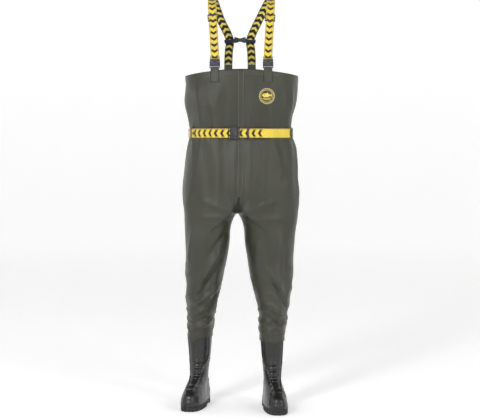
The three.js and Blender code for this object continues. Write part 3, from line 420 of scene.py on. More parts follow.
def refined(source, name, body, material, slot, width):
    """A CAD piece with its edges rounded as a moulding's are."""
    piece = placed(name, frame["nodes"][source].data.copy())
    piece.data.materials.clear()
    piece.data.materials.append(material)
    edit = bmesh.new()
    edit.from_mesh(piece.data)
    bmesh.ops.remove_doubles(edit, verts=edit.verts, dist=1e-6)
    bmesh.ops.dissolve_limit(edit, angle_limit=math.radians(1), verts=edit.verts, edges=edit.edges)
    edit.to_mesh(piece.data)
    edit.free()
    bevel = piece.modifiers.new("edges", "BEVEL")
    bevel.width = width
    bevel.segments = 3
    bevel.limit_method = "ANGLE"
    bevel.angle_limit = math.radians(35)
    graph = bpy.context.evaluated_depsgraph_get()
    mesh = bpy.data.meshes.new_from_object(piece.evaluated_get(graph), depsgraph=graph)
    piece.modifiers.clear()
    piece.data = mesh
    mesh.polygons.foreach_set("use_smooth", [True] * len(mesh.polygons))
    mesh.set_sharp_from_angle(angle=math.radians(40))
    return dressed(piece, body, slot, source)


# ------------------------------------------------------------------ the suit's surface
BODY_HEIGHTS = [0.832, 0.899, 0.966, 1.033, 1.100, 1.150, 1.201, 1.268, 1.336, 1.404]
RIGHT_REACH = through(BODY_HEIGHTS, [0.240, 0.243, 0.240, 0.236, 0.227, 0.218, 0.224, 0.234, 0.231, 0.237])
LEFT_REACH = through(BODY_HEIGHTS, [0.238, 0.241, 0.236, 0.234, 0.222, 0.206, 0.211, 0.228, 0.235, 0.237])
HALF_DEPTH = through(BODY_HEIGHTS, [0.136, 0.140, 0.139, 0.136, 0.130, 0.126, 0.130, 0.136, 0.139, 0.140])
SQUARENESS = 2.5
CROTCH_X = -0.018
CROTCH_DIP = 0.024
LEG_HEIGHTS = [0.272, 0.294, 0.361, 0.428, 0.529, 0.664, 0.700]
LEG_SHAPE = {
    "right": {"x": [-0.176, -0.175, -0.171, -0.168, -0.160, -0.146, -0.144],
              "y": [0.028, 0.028, 0.024, 0.019, 0.011, 0.003, 0.002],
              "width": [0.0525, 0.0525, 0.0555, 0.0655, 0.0775, 0.091, 0.094]},
    "left": {"x": [0.128, 0.128, 0.131, 0.134, 0.128, 0.119, 0.118],
             "y": [-0.044, -0.043, -0.037, -0.030, -0.019, -0.007, -0.004],
             "width": [0.0525, 0.0525, 0.0585, 0.0680, 0.0870, 0.103, 0.107]},
}
LEG_DEPTH = through(LEG_HEIGHTS, [0.0695, 0.0695, 0.076, 0.084, 0.095, 0.109, 0.115])
TOE_OUT = {"left": 7, "right": -12}
# How high the legs' lower edges are above the ground, and the directions in which they hang lowest.
CUFF = {"left": 0.281, "right": 0.288}
CUFF_DIP = {"left": -1.75, "right": 4.4}
BODY_HALF_COLUMNS = 88
LEG_INNER_COLUMNS = 56
BODY_ROWS = 96
LEG_ROWS = 96
# The height above the ground under which a leg has its own full outline.
JOIN_HEIGHT = 0.700


def squircle(angle, power):
    c, s = np.cos(angle), np.sin(angle)
    reach = (np.abs(c) ** power + np.abs(s) ** power) ** (-1 / power)
    return c * reach, s * reach


def hem_rise(angle):
    """Height of the top hem over the front hem: it domes at the front and back and drops at the sides."""
    c, s = squircle(angle, SQUARENESS)
    middle = np.where(s > 0, BACK_HEM, 0.0)
    return middle + (-0.022 - middle) * np.abs(c) ** 2.2


def body_point(angle, height):
    c, s = squircle(angle, SQUARENESS)
    reach = np.where(c > 0, LEFT_REACH(height), RIGHT_REACH(height))
    return np.stack([reach * c, HALF_DEPTH(height) * s, height + GROUND + 0 * c], -1)


def leg_point(side, angle, height):
    shape = {key: through(LEG_HEIGHTS, values)(height) for key, values in LEG_SHAPE[side].items()}
    c, s = squircle(angle, 2.2)
    x, y = shape["width"] * c, LEG_DEPTH(height) * s
    knee = KNEE_LEVEL[side] - GROUND
    turn = math.radians(TOE_OUT[side]) * np.clip((knee - height) / (knee - 0.294), 0, 1)
    return np.stack([shape["x"] + x * np.cos(turn) - y * np.sin(turn),
                     shape["y"] + x * np.sin(turn) + y * np.cos(turn), height + GROUND + 0 * x], -1)


def build_suit_grid():
    """All of the suit as one net of quads: the body, then each leg, which shares the crotch's curve. The faces come
    in a dictionary by part."""
    half, inner = BODY_HALF_COLUMNS, LEG_INNER_COLUMNS
    columns = 2 * half
    # Column 0 is the front middle, half the back middle; the wearer's left comes first.
    angles = -math.pi / 2 + 2 * math.pi * np.arange(columns) / columns
    crotch_height = CROTCH_LEVEL - GROUND
    verts = []
    for row in range(BODY_ROWS):
        share = row / (BODY_ROWS - 1)
        ring = body_point(angles, crotch_height + share * (hem_rise(angles) - GROUND - crotch_height))
        ring[:, 0] += CROTCH_X * (1 - smoothstep(share * 6)) * np.abs(np.sin(angles)) ** 8
        verts += list(ring)
    faces = {"torso": grid_faces(BODY_ROWS, columns, wrap=True), "left": [], "right": []}
    # The crotch's curve, from the back middle under the body to the front middle.
    crotch_ids = [len(verts) + i for i in range(inner - 1)]
    back, front = verts[half], verts[0]
    for i in range(1, inner):
        f = i / inner
        verts.append(back * (1 - f) + front * f - UP * CROTCH_DIP * math.sin(math.pi * f) ** 0.8)
    for side, sign in SIGNS.items():
        if sign > 0:
            previous = list(range(half + 1)) + crotch_ids
        else:
            previous = list(range(half, columns)) + [0] + crotch_ids[::-1]
        count = len(previous)
        ring_angles = np.concatenate([np.linspace(-math.pi / 2, math.pi / 2, half + 1),
                                      np.linspace(math.pi / 2, 3 * math.pi / 2, inner + 1)[1:-1]])
        if sign < 0:
            ring_angles = ring_angles + math.pi
        top = np.array([verts[i] for i in previous])
        is_inner = np.arange(count) > half
        # The cuff isn't level: it dips where the cloth hangs over the shin.
        droop = 0.016 * np.exp(-((ring_angles - CUFF_DIP[side]) / 0.30) ** 2)
        for row in range(1, LEG_ROWS):
            share = row / (LEG_ROWS - 1)
            height = crotch_height + share * (CUFF[side] - crotch_height)
            join_share = min(1.0, (crotch_height - height) / (crotch_height - JOIN_HEIGHT))
            ring = leg_point(side, ring_angles, np.full(count, min(height, JOIN_HEIGHT)))
            morph = np.where(is_inner, 1 - (1 - join_share) ** 2.8, smoothstep(join_share))[:, None]
            ring[:, :2] = top[:, :2] * (1 - morph) + ring[:, :2] * morph
            sink = (top[:, 2] - CROTCH_LEVEL) * (1 - join_share)
            ring[:, 2] = GROUND + height + sink - droop * float(smoothstep((share - 0.80) / 0.20))
            here = list(range(len(verts), len(verts) + count))
            verts += list(ring)
            faces[side] += [(previous[i], here[i], here[(i + 1) % count], previous[(i + 1) % count])
                            for i in range(count)]
            previous = here
    return np.array(verts), faces


def outward_normals(verts, faces):
    quads = np.array(faces)
    a, b, c, d = (verts[quads[:, i]] for i in range(4))
    face_normals = np.cross(c - a, d - b)
    normals = np.zeros_like(verts)
    for i in range(4):
        np.add.at(normals, quads[:, i], face_normals)
    return unit(normals)


# ------------------------------------------------------------------ folds in the cloth
def fold(verts, facing, x0, z0, x1, z1, width, height):
    """A ridge, or a furrow where height is below zero, along a line seen from the front. z is above the ground."""
    start = np.array([x0, z0])
    place = np.stack([verts[:, 0], verts[:, 2] - GROUND], -1) - start
    along = np.array([x1, z1]) - start
    share = (place @ along) / (along @ along)
    distance = np.linalg.norm(place - np.clip(share, 0, 1)[:, None] * along, axis=1)
    taper = smoothstep(share / 0.3 + 0.2) * smoothstep((1 - share) / 0.3 + 0.2)
    return height * facing * taper / (1 + (distance / width) ** 2) ** 1.6


def relaxed(verts, faces, weight, rounds):
    """Evens out the net where weight is above zero."""
    quads = np.array(faces)
    a = quads.reshape(-1)
    b = np.roll(quads, -1, axis=1).reshape(-1)
    count = np.zeros(len(verts))
    np.add.at(count, a, 1)
    np.add.at(count, b, 1)
    verts = verts.copy()
    for _ in range(rounds):
        total = np.zeros_like(verts)
        np.add.at(total, a, verts[b])
        np.add.at(total, b, verts[a])
        verts += (total / count[:, None] - verts) * weight[:, None]
    return verts


def noise_of(verts, scale, offset):
    return np.array([noise.noise((v[0] * scale[0] + offset, v[1] * scale[1], v[2] * scale[2])) for v in verts])


def creased(verts, scale, offset, level):
    """Noise turned into cloth: broad hollows between narrower crests, lowered by level."""
    return 1 - 2 * np.abs(noise_of(verts, scale, offset)) ** 0.7 - level


def fold_heights(verts, normals):
    """How far each point of the suit is pushed out: some named folds, listed one by one, and creases from noise."""
    height = verts[:, 2] - GROUND
    front = smoothstep((-normals[:, 1] + 0.05) / 0.6)
    back = smoothstep((normals[:, 1] + 0.05) / 0.6)
    on_body = smoothstep((height - 0.80) / 0.06)
    out = 0.0042 * noise_of(verts, (9, 9, 3.0), 3.1)
    out += 0.0014 * noise_of(verts, (24, 24, 9), 8.7)
    # Soft upright folds in the chest.
    out += 0.0068 * creased(verts, (17, 11, 2.2), 21.4, 0.3) * on_body * smoothstep((1.37 - height) / 0.08)
    # Gathers above and below the belt.
    near_belt = np.exp(-np.abs(height - (BELT_Z - GROUND)) / 0.055)
    out += 0.0066 * creased(verts, (34, 26, 3.5), 40.0, 0.35) * near_belt
    # Drag lines that fan out from the crotch and down from the tabs.
    for line in (
        (-0.030, 0.815, -0.165, 0.870, 0.012, 0.0050), (-0.030, 0.800, -0.190, 0.800, 0.013, 0.0048),
        (0.010, 0.815, 0.150, 0.872, 0.012, 0.0050), (0.010, 0.795, 0.185, 0.790, 0.013, 0.0045),
        (-0.022, 0.835, -0.085, 0.925, 0.010, -0.0036), (0.004, 0.835, 0.070, 0.930, 0.010, -0.0036),
        (-0.160, 1.240, -0.120, 1.060, 0.014, 0.0050), (-0.185, 1.330, -0.165, 1.180, 0.013, 0.0048),
        (0.140, 1.100, 0.175, 0.960, 0.014, 0.0046), (0.070, 1.100, 0.050, 0.960, 0.013, 0.0038),
    ):
        out += fold(verts, front + 0.8 * back, *line)
    # The wearer's right leg hangs twisted, with long slanting ridges and a deep furrow under them.
    right = smoothstep((-verts[:, 0] - 0.01) / 0.02) * smoothstep((0.80 - height) / 0.05)
    for line in (
        (-0.085, 0.665, -0.185, 0.500, 0.0108, 0.0131), (-0.090, 0.510, -0.200, 0.425, 0.0101, 0.0125),
        (-0.096, 0.585, -0.190, 0.450, 0.0101, -0.0100), (-0.098, 0.490, -0.140, 0.400, 0.0079, -0.0112),
        (-0.060, 0.740, -0.150, 0.620, 0.0122, -0.0075), (-0.150, 0.420, -0.212, 0.370, 0.0086, 0.0088),
        (-0.120, 0.380, -0.205, 0.350, 0.0072, -0.0075), (-0.130, 0.350, -0.215, 0.320, 0.0072, 0.0075),
        (-0.200, 0.760, -0.222, 0.600, 0.0130, 0.0075),
    ):
        out += fold(verts, right * (front + 0.6 * back), *line)
    # The left leg falls straighter, with one long crest down its front.
    left = smoothstep((verts[:, 0] - 0.01) / 0.02) * smoothstep((0.80 - height) / 0.05)
    for line in (
        (0.165, 0.740, 0.150, 0.330, 0.0173, 0.0112), (0.120, 0.545, 0.190, 0.415, 0.0086, -0.0119),
        (0.100, 0.600, 0.180, 0.470, 0.0108, 0.0075), (0.070, 0.700, 0.060, 0.560, 0.0130, 0.0063),
        (0.100, 0.440, 0.185, 0.375, 0.0079, 0.0075), (0.105, 0.380, 0.180, 0.335, 0.0072, -0.0075),
    ):
        out += fold(verts, left * (front + 0.6 * back), *line)
    # Stacked wrinkles where the leg meets the boot.
    stack = smoothstep((0.47 - height) / 0.10) * smoothstep((height - 0.285) / 0.035)
    out += 0.0070 * creased(verts, (9, 9, 26), 60.0, 0.35) * stack
    knee = np.exp(-((height - 0.50) / 0.10) ** 2)
    out += 0.0050 * creased(verts, (10, 10, 14), 77.0, 0.3) * knee
    # The rim stays even, and so do the places that carry the tabs and the print.
    calm = smoothstep((hem_height_at(verts) - height) / 0.05)
    for x, z, radius in ((0.109, 1.370, 0.05), (-0.109, 1.370, 0.05), (0.104, 1.297, 0.055)):
        spot = np.hypot(verts[:, 0] - x, height - z)
        calm = calm * (1 - 0.85 * front * (1 - smoothstep((spot - 0.5 * radius) / radius)))
    above_cuff = smoothstep((height - 0.290) / 0.03)
    return out * (0.25 + 0.75 * calm) * (0.12 + 0.88 * above_cuff)


def hem_height_at(verts):
    angle = np.arctan2(verts[:, 1] / CHEST_HALF_DEPTH, verts[:, 0] / HALF_WIDTH)
    return hem_rise(angle) - GROUND


class Skin:
    """The finished outer face of the suit, for setting other pieces on it."""

    def __init__(self, verts, faces):
        self.tree = BVHTree.FromPolygons([Vector(v) for v in verts], [tuple(map(int, f)) for f in faces])

    def seen_from(self, start, way, nearly, offset):
        """The point on the skin met from start, pushed out by offset, and its outward normal."""
        hit, normal, _, _ = self.tree.ray_cast(start, way, 1.2)
        if hit is None:
            hit, normal, _, _ = self.tree.find_nearest(nearly)
        if normal.dot(way) > 0:
            normal = -normal
        return hit + normal * offset, normal

    def around(self, angle, z, offset):
        """The skin in a direction seen from above."""
        way = Vector((math.cos(angle), math.sin(angle), 0))
        middle = Vector((0, 0, z))
        return self.seen_from(middle + way * 0.6, -way, middle + way * 0.2, offset)

    def front(self, x, z, offset, face=-1):
        """The skin at a place seen from the front, or from the back where face is 1."""
        return self.seen_from(Vector((x, face * 0.6, z)), Vector((0, -face, 0)), Vector((x, face * 0.14, z)), offset)


def shell(name, verts, normals, faces, rim=(), wall=0.0013):
    """A cloth piece with an outer face, a lining and a closed edge along its rim."""
    used = sorted({i for face in faces for i in face})
    place = {old: new for new, old in enumerate(used)}
    count = len(used)
    outer, out = verts[used], normals[used]
    out_faces = [tuple(place[i] for i in face) for face in faces]
    in_faces = [tuple(count + place[i] for i in reversed(face)) for face in faces]
    rim_faces = [(place[b], place[a], count + place[a], count + place[b]) for a, b in zip(rim, rim[1:] + rim[:1])]
    indices = [0] * len(out_faces) + [1] * len(in_faces) + [0] * len(rim_faces)
    piece = new_object(name, np.concatenate([outer, outer - out * wall]), out_faces + in_faces + rim_faces,
                       [OLIVE, LINING], indices)
    piece.data.normals_split_custom_set_from_vertices([tuple(map(float, n)) for n in np.concatenate([out, -out])])
    return piece


def add_suit():
    verts, parts = build_suit_grid()
    faces = parts["torso"] + parts["left"] + parts["right"]
    height = verts[:, 2] - GROUND
    near_crotch = smoothstep((height - 0.60) / 0.10) * smoothstep((0.93 - height) / 0.06)
    verts = relaxed(verts, faces, 0.6 * near_crotch, 14)
    normals = outward_normals(verts, faces)
    verts = verts + normals * fold_heights(verts, normals)[:, None]
    normals = outward_normals(verts, faces)
    columns = 2 * BODY_HALF_COLUMNS
    torso = shell("suit_body", verts, normals, parts["torso"],
                  [(BODY_ROWS - 1) * columns + c for c in range(columns)])
    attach(torso, "torso")
    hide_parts("left_body_panel", "right_body_panel")
    count = BODY_HALF_COLUMNS + LEG_INNER_COLUMNS
    for side in SIGNS:
        step = (CROTCH_LEVEL - GROUND - CUFF[side]) / (LEG_ROWS - 1)
        split = int(round((CROTCH_LEVEL - (THIGH_TOP - 0.05)) / step)) * count
        own = parts[side]
        top = shell(side + "_upper_leg_cloth", verts, normals, own[:split])
        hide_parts(side + "_hip_fabric", side + "_thigh_fabric")
        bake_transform(top)
        low = shell(side + "_lower_leg_cloth", verts, normals, own[split:], [f[1] for f in own[-count:]][::-1])
        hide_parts(side + "_knee_fabric", side + "_shin_fabric")
        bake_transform(low)
    return verts, normals, Skin(verts, faces)


# ------------------------------------------------------------------ bands, tapes and stitches
STITCH_PITCH = 0.0036


def band(name, centres, acrosses, outs, width, thickness, material, columns=9):
    """A flat band along centres, thinner at its edges. Its U is across and its V along, in metres."""
    centres, acrosses, outs = (np.array(v, float) for v in (centres, acrosses, outs))
    w = np.linspace(-1, 1, columns)
    lift = thickness / 2 * (1 - np.abs(w) ** 10) ** 0.5
    verts = []
    for c, a, o in zip(centres, acrosses, outs):
        verts += [c + a * width / 2 * wi + o * t for wi, t in zip(w, lift)]
        verts += [c + a * width / 2 * wi - o * t for wi, t in zip(w[::-1][1:-1], lift[::-1][1:-1])]
    ring = 2 * columns - 2
    rows = len(centres)
    faces = grid_faces(rows, ring, wrap=True)
    length = np.concatenate([[0], np.cumsum(np.linalg.norm(np.diff(centres, axis=0), axis=1))])
    round_the_ring = np.clip((np.concatenate([w, w[::-1][1:-1]]) + 1) / 2, 0.001, 0.999)
    flat = []
    for face in faces:
        on_back = all(i % ring >= columns - 1 or i % ring == 0 for i in face)
        for i in face:
            flat += [round_the_ring[i % ring] + (2 if on_back else 0), length[i // ring]]
    flat += [0.5, 0.0] * ring + [0.5, float(length[-1])] * ring
    piece = new_object(name, verts, faces + end_faces(rows, ring), [material])
    piece.data.uv_layers.new(name="band").data.foreach_set("uv", flat)
    return piece


def mark(piece, flags):
    """Says, ring by ring along a band, where its woven pattern shows."""
    ring = len(piece.data.vertices) // len(flags)
    attribute = piece.data.attributes.new("marks", "FLOAT", "POINT")
    attribute.data.foreach_set("value", np.repeat(np.array(flags, np.float32), ring))


def stitches(name, threads, body, material):
    """Small rounded bars lying on the cloth. Each thread is a place, the way out of the cloth and the way it runs."""
    length, width, sides = 0.0026, 0.0006, 6
    verts, faces = [], []
    for place, out, along in threads:
        side = np.cross(out, along)
        start = len(verts)
        for f in (-1, -0.6, 0, 0.6, 1):
            swell = math.sqrt(max(0.05, 1 - f * f))
            centre = place + along * f * length / 2 + out * (0.0002 * (1 - f * f))
            for angle in (2 * math.pi * k / sides for k in range(sides)):
                verts.append(centre + (side * math.cos(angle) + out * math.sin(angle)) * width / 2 * swell)
        faces += grid_faces(5, sides, wrap=True, start=start) + end_faces(5, sides, start)
    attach(new_object(name, verts, faces, [material]), body)


def skin_band(name, skin, rows, widths, thickness, offset, materials, face=-1, columns=25, ridge=0.0):
    """A tape that follows the suit's own surface from the front or the back. rows are (x, z) places down its middle.
    Near each edge it can carry a weld ridge, in the second material, whose lighter colour is a painted highlight."""
    w = np.linspace(-1, 1, columns)
    lift = thickness * (1 - np.abs(w) ** 12) ** 0.5 + ridge * np.exp(-((np.abs(w) - 0.84) / 0.085) ** 2)
    on_ridge = (1, 2, columns - 4, columns - 3) if ridge else ()
    ring = 2 * columns
    verts = []
    for (x, z), width in zip(rows, widths):
        points = [skin.front(x + wi * width / 2, z, 0.0, face) for wi in w]
        verts += [p + n * (offset + rise) for (p, n), rise in zip(points, lift)]
        verts += [p + n * offset for p, n in reversed(points)]
    faces = grid_faces(len(rows), ring, wrap=True)
    if face * (rows[-1][1] - rows[0][1]) > 0:
        faces = [tuple(reversed(f)) for f in faces]
    indices = [int(i % ring in on_ridge) for i in range(len(faces))] + [0, 0]
    return new_object(name, verts, faces + end_faces(len(rows), ring), materials, indices)


def add_tapes(skin):
    (low, high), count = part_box("front_seam_tape"), 110
    levels = np.linspace(low.z, high.z + 0.001, count)
    rows = [(-0.002 - 0.008 * float(1 - smoothstep((z - CROTCH_LEVEL) / 0.2)), z) for z in levels]
    widths = [0.012 + 0.013 * float(smoothstep((z - CROTCH_LEVEL) / 0.09)) for z in levels]
    # The tapes' weld ridges take a lighter olive: painted highlight along each ridge.
    tape_with_painted_highlight = [OLIVE_TAPE, OLIVE_RIDGE_HIGHLIGHT]
    tape = skin_band("front_seam_band", skin, rows, widths, 0.0008, 0.0002, tape_with_painted_highlight, ridge=0.0019)
    dressed(tape, "torso", "olive_tape", "front_seam_tape")
    low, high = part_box("back_seam_tape")
    rows = [(0.0, z) for z in np.linspace(low.z, high.z, count)]
    tape = skin_band("back_seam_band", skin, rows, [0.024] * count, 0.0008, 0.0002, tape_with_painted_highlight, face=1, ridge=0.0019)
    dressed(tape, "torso", "olive_tape", "back_seam_tape")
    # The crotch gusset: a rubber patch in near-black, which also stands for painted shade under the crotch.
    low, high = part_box("crotch_gusset")
    shares = np.linspace(0, 1, 24)
    rows = [(CROTCH_X + 0.008 * f, z) for f, z in zip(shares, np.linspace(low.z - 0.0235, high.z, 24))]
    patch = skin_band("crotch_gusset_and_painted_shade", skin, rows, 0.005 + 0.031 * (1 - shares) ** 1.7, 0.0010, 0.0010, [GUSSET_AND_PAINTED_SHADE],
                      columns=13)
    dressed(patch, "torso", "boot_rubber", "crotch_gusset")


def add_hem(verts, normals):
    """The welded hem: a doubled band with a rolled lip that turns in over the suit's upper edge."""
    columns = 2 * BODY_HALF_COLUMNS
    rows = []
    for below in (4, 3, 2, 1, 0):
        start = (BODY_ROWS - 1 - below) * columns
        here = slice(start, start + columns)
        rows.append((verts[here], unit(normals[here] * (RIGHT + BACKWARD))))
    (low, low_out), (top, out) = rows[0], rows[-1]
    rings = [low + low_out * 0.0002]
    lip = ((0.0014, 0.0006), (0.0017, 0.0018), (0.0011, 0.0032))
    rings += [low + low_out * reach + UP * rise for reach, rise in lip]
    rings += [v + n * 0.0010 for v, n in rows[1:4]]
    rings += [top - UP * 0.0012 - out * 0.0006 + (out * math.cos(a) + UP * math.sin(a)) * 0.0021
              for a in np.radians([-60, -20, 20, 60, 100, 140, 180, 215])]
    rings += [v - n * 0.0024 for v, n in rows[3::-1]]
    rings.append(low - low_out * 0.0014)
    piece = new_object("hem_band", np.concatenate(rings), grid_faces(len(rings), columns, wrap=True), [OLIVE_TAPE])
    dressed(piece, "torso", "olive_tape", "top_hem")


# ------------------------------------------------------------------ belt
BELT_FLAT = 0.084
BELT_FADE = 0.070
# The direction, seen from above, in which the webbing ends and the front elastic is sewn on.
BELT_SEAM = math.radians(204)
LOOP_SHARES = (1, 0.92, 0.84, 0.76, 0.69, 0.62, 0.5, 0.25, 0)


def belt_path(skin, from_angle, to_angle, count):
    """Places round the waist: flat across the front for the buckle, and lying on the cloth elsewhere."""
    points = []
    for angle in np.linspace(from_angle, to_angle, count):
        places = [skin.around(angle, BELT_Z + dz, 0.0)[0] for dz in (-0.016, 0, 0.016)]
        reach = max(math.hypot(p.x, p.y) for p in places) + 0.0022
        points.append([reach * math.cos(angle), reach * math.sin(angle)])
    points = np.array(points)
    smooth = points.copy()
    for _ in range(6):
        smooth[1:-1] = 0.25 * smooth[:-2] + 0.5 * smooth[1:-1] + 0.25 * smooth[2:]
    reach = np.linalg.norm(smooth, axis=1)
    smooth *= (1 + np.maximum(0, np.linalg.norm(points, axis=1) - reach) / reach)[:, None]
    x, y = smooth.T
    fade = 1 - smoothstep((np.abs(x) - BELT_FLAT) / BELT_FADE)
    plane = np.where(np.abs(x) < BELT_FLAT, BUCKLE_PLANE, np.minimum(y, BUCKLE_PLANE))
    return np.column_stack([x, np.where(y < 0, y + (plane - y) * fade, y)])


def belt_band(name, path, flags):
    centres = np.column_stack([path, np.full(len(path), BELT_Z)])
    across = np.tile(UP, (len(path), 1))
    outs = np.cross(unit(np.gradient(centres, axis=0)), across)
    piece = band(name, centres, across, outs, BELT_WIDTH - 0.001, 0.0018, YELLOW)
    mark(piece, flags)
    return piece


def add_belt(skin):
    socket_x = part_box("belt_buckle_socket")[1].x - 0.005
    prong_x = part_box("belt_buckle_prong")[0].x + 0.004
    start = math.atan2(BUCKLE_PLANE, socket_x)
    webbing_path = belt_path(skin, start, BELT_SEAM, 220)
    flags = [float(y > -0.02 or x < 0.09 or x > 0.2) for x, y in webbing_path]
    piece = belt_band("waist_belt", webbing_path, flags)
    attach(piece, "torso")
    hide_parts("belt_webbing")
    path = belt_path(skin, BELT_SEAM - math.radians(4), 2 * math.pi + math.atan2(BUCKLE_PLANE, prong_x), 90)
    # The elastic starts on top of the webbing that it is sewn to.
    path *= 1 + 0.010 * smoothstep(1 - np.arange(len(path)) / 10.0)[:, None]
    piece = belt_band("front_elastic", path, [1.0] * len(path))
    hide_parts("belt_elastic_front")
    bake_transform(piece)
    # Each loop lies on the suit at its ends and passes over the belt, which reaches this far out on that side.
    places = np.concatenate([webbing_path, path])
    angles = np.arctan2(places[:, 1], places[:, 0])
    shares = [s * f for s, fs in ((-1, LOOP_SHARES), (1, LOOP_SHARES[-2::-1])) for f in fs]
    for name in ("left_belt_loop", "right_belt_loop", "back_belt_loop"):
        low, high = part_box(name)
        turn = math.pi / 2 if name.startswith("back") else math.atan2(low.y + high.y, low.x + high.x)
        flat = skin.around(turn, BELT_Z, 0.0)[1]
        flat = Vector((flat.x, flat.y, 0)).normalized()
        beside = np.abs((angles - turn + math.pi) % (2 * math.pi) - math.pi) < 0.06
        over = float(np.linalg.norm(places[beside], axis=1).max()) + 0.0022
        centres = []
        for share in shares:
            point = skin.around(turn, BELT_Z + share * (high.z - low.z) / 2, 0.0007)[0]
            lift = 1 - float(smoothstep((abs(share) - 0.60) / 0.22))
            centres.append(point.lerp(Vector((over * math.cos(turn), over * math.sin(turn), point.z)), lift))
        count = len(centres)
        piece = band(name + "_cloth", centres, [(-flat.y, flat.x, 0)] * count, [flat] * count, 0.015, 0.0013,
                     OLIVE_TAPE)
        dressed(piece, "torso", "olive_tape", name)


# ------------------------------------------------------------------ boots
BOOT_LEVELS = [0.026, 0.045, 0.065, 0.085, 0.105, 0.125, 0.160, 0.200, 0.296]
HEEL = through(BOOT_LEVELS, [0.068, 0.070, 0.069, 0.066, 0.062, 0.059, 0.058, 0.061, 0.067])
TOE = through(BOOT_LEVELS, [0.208, 0.211, 0.203, 0.166, 0.108, 0.076, 0.062, 0.061, 0.066])
BOOT_HALF_WIDTH = through(BOOT_LEVELS, [0.046, 0.045, 0.0425, 0.0395, 0.037, 0.0355, 0.038, 0.042, 0.0495])
LUG_PITCH = 0.0190
ANKLE = {"left": (0.128, -0.044), "right": (-0.176, 0.028)}


def boot_outline(angles, height):
    """The boot's outline at a height in its own frame, where the toe points to -Y."""
    height = np.maximum(height, BOOT_LEVELS[0])
    power = 2.9 - 0.7 * smoothstep((height - 0.026) / 0.094)
    c, s = squircle(angles, power)
    heel, toe, wide = HEEL(height), TOE(height), BOOT_HALF_WIDTH(height)
    middle = (heel - toe) / 2
    reach = (heel + toe) / 2
    y = middle + reach * s
    # The sole narrows at the arch and the heel, and is broadest at the ball of the foot.
    foot = 1 - smoothstep((height - 0.06) / 0.05)
    along = (y + 0.208) / 0.278
    waist = 0.10 * np.exp(-((along - 0.66) / 0.16) ** 2) + 0.13 * smoothstep((along - 0.72) / 0.25)
    return wide * c * (1 - foot * waist), y


def boot_ribs(x, y, height, angles, side):
    """How far the moulded detail stands out from the plain boot."""
    outer = 1 if side == "left" else -1
    out = np.zeros_like(x)

    def rib(level, width, rise, weight):
        return rise * np.exp(-((height - level) / width) ** 2) * weight

    # Two ribs round the shaft, a rolled rim at its top, and a rib over the welt.
    for level, width, rise in ((0.190, 0.0024, 0.0016), (0.181, 0.0018, 0.0012), (0.292, 0.0030, 0.0008),
                               (0.047, 0.0014, 0.0009)):
        out += rib(level, width, rise, 1.0)
    # A raised panel up the shin. Its inner edge sweeps from the side of the shaft to the instep.
    across = np.cos(angles) * outer
    is_front = smoothstep((-np.sin(angles) + 0.05) / 0.25)
    inner_edge = -0.30 - 0.66 * smoothstep((height - 0.085) / 0.135)
    outer_edge = 0.34 + 0.44 * smoothstep((height - 0.070) / 0.070)
    shaft = smoothstep((height - 0.072) / 0.014) * smoothstep((0.292 - height) / 0.006)
    panel = smoothstep((across - inner_edge) / 0.05) * smoothstep((outer_edge - across) / 0.05)
    out += 0.0014 * panel * is_front * shaft
    out += 0.0040 * np.exp(-((across - inner_edge) / 0.045) ** 2) * is_front * shaft
    out += 0.0044 * np.exp(-((across - outer_edge) / 0.040) ** 2) * is_front * shaft
    # Flex ribs across the middle of the shin and over the ankle.
    middle = smoothstep((0.46 - np.abs(across + 0.06)) / 0.10) * is_front
    for k in range(9):
        out += rib(0.182 - 0.0125 * k, 0.0034, 0.0032, middle)
    # The toe cap's step with a bead on it, and a second bead behind it.
    past_cap = -y - 0.150 - 0.9 * x**2 / 0.048 + 0.25 * (height - 0.05)
    beads = 0.0018 * np.exp(-(past_cap / 0.0020) ** 2) + 0.0012 * np.exp(-((past_cap + 0.009) / 0.0018) ** 2)
    out += (beads + 0.0010 * smoothstep(past_cap / 0.002)) * smoothstep((0.11 - height) / 0.02)
    # A foxing band over the welt.
    out += 0.0016 * smoothstep((0.043 - height) / 0.002)
    # Heel counter: a shallow raised panel with an upper edge.
    heel = smoothstep((np.sin(angles) - 0.45) / 0.06)
    out += 0.0012 * heel * smoothstep((0.108 - height) / 0.003) * smoothstep((height - 0.05) / 0.01)
    # The rubber's own slight unevenness.
    soft = np.array([noise.noise((a * 22, b * 22, h * 7)) for a, b, h in zip(x, y, height)])
    return out + 0.0022 * soft * smoothstep((height - 0.045) / 0.02)


def place_boot(points, side):
    turn = math.radians(TOE_OUT[side])
    x, y, z = points.T
    ankle = ANKLE[side]
    return np.stack([ankle[0] + x * math.cos(turn) - y * math.sin(turn),
                     ankle[1] + x * math.sin(turn) + y * math.cos(turn), z + GROUND], -1)


def boot_ring(angles, outline_height, out, z):
    """A ring of the boot's outline at one height, pushed out and set at height z."""
    x, y = boot_outline(angles, outline_height)
    dx, dy = (np.roll(v, -1) - np.roll(v, 1) for v in (x, y))
    length = np.hypot(dx, dy)
    return np.stack([x + dy / length * out, y - dx / length * out, z + 0 * x], -1)


def turned(columns):
    return 2 * math.pi * np.arange(columns) / columns


def fanned(rings, side, lift=0.0):
    """A boot's rings as a closed mesh, with a fan round the middle of the first ring and of the last."""
    verts = place_boot(np.concatenate(rings), side)
    columns = len(rings[0])
    last = len(verts) - columns
    verts = np.concatenate([verts, verts[:columns].mean(0, keepdims=True) + [[0, 0, lift]],
                            verts[last:].mean(0, keepdims=True)])
    faces = grid_faces(len(rings), columns, wrap=True)
    for i in range(columns):
        j = (i + 1) % columns
        faces += [(last + columns, j, i), (last + columns + 1, last + i, last + j)]
    return verts, faces


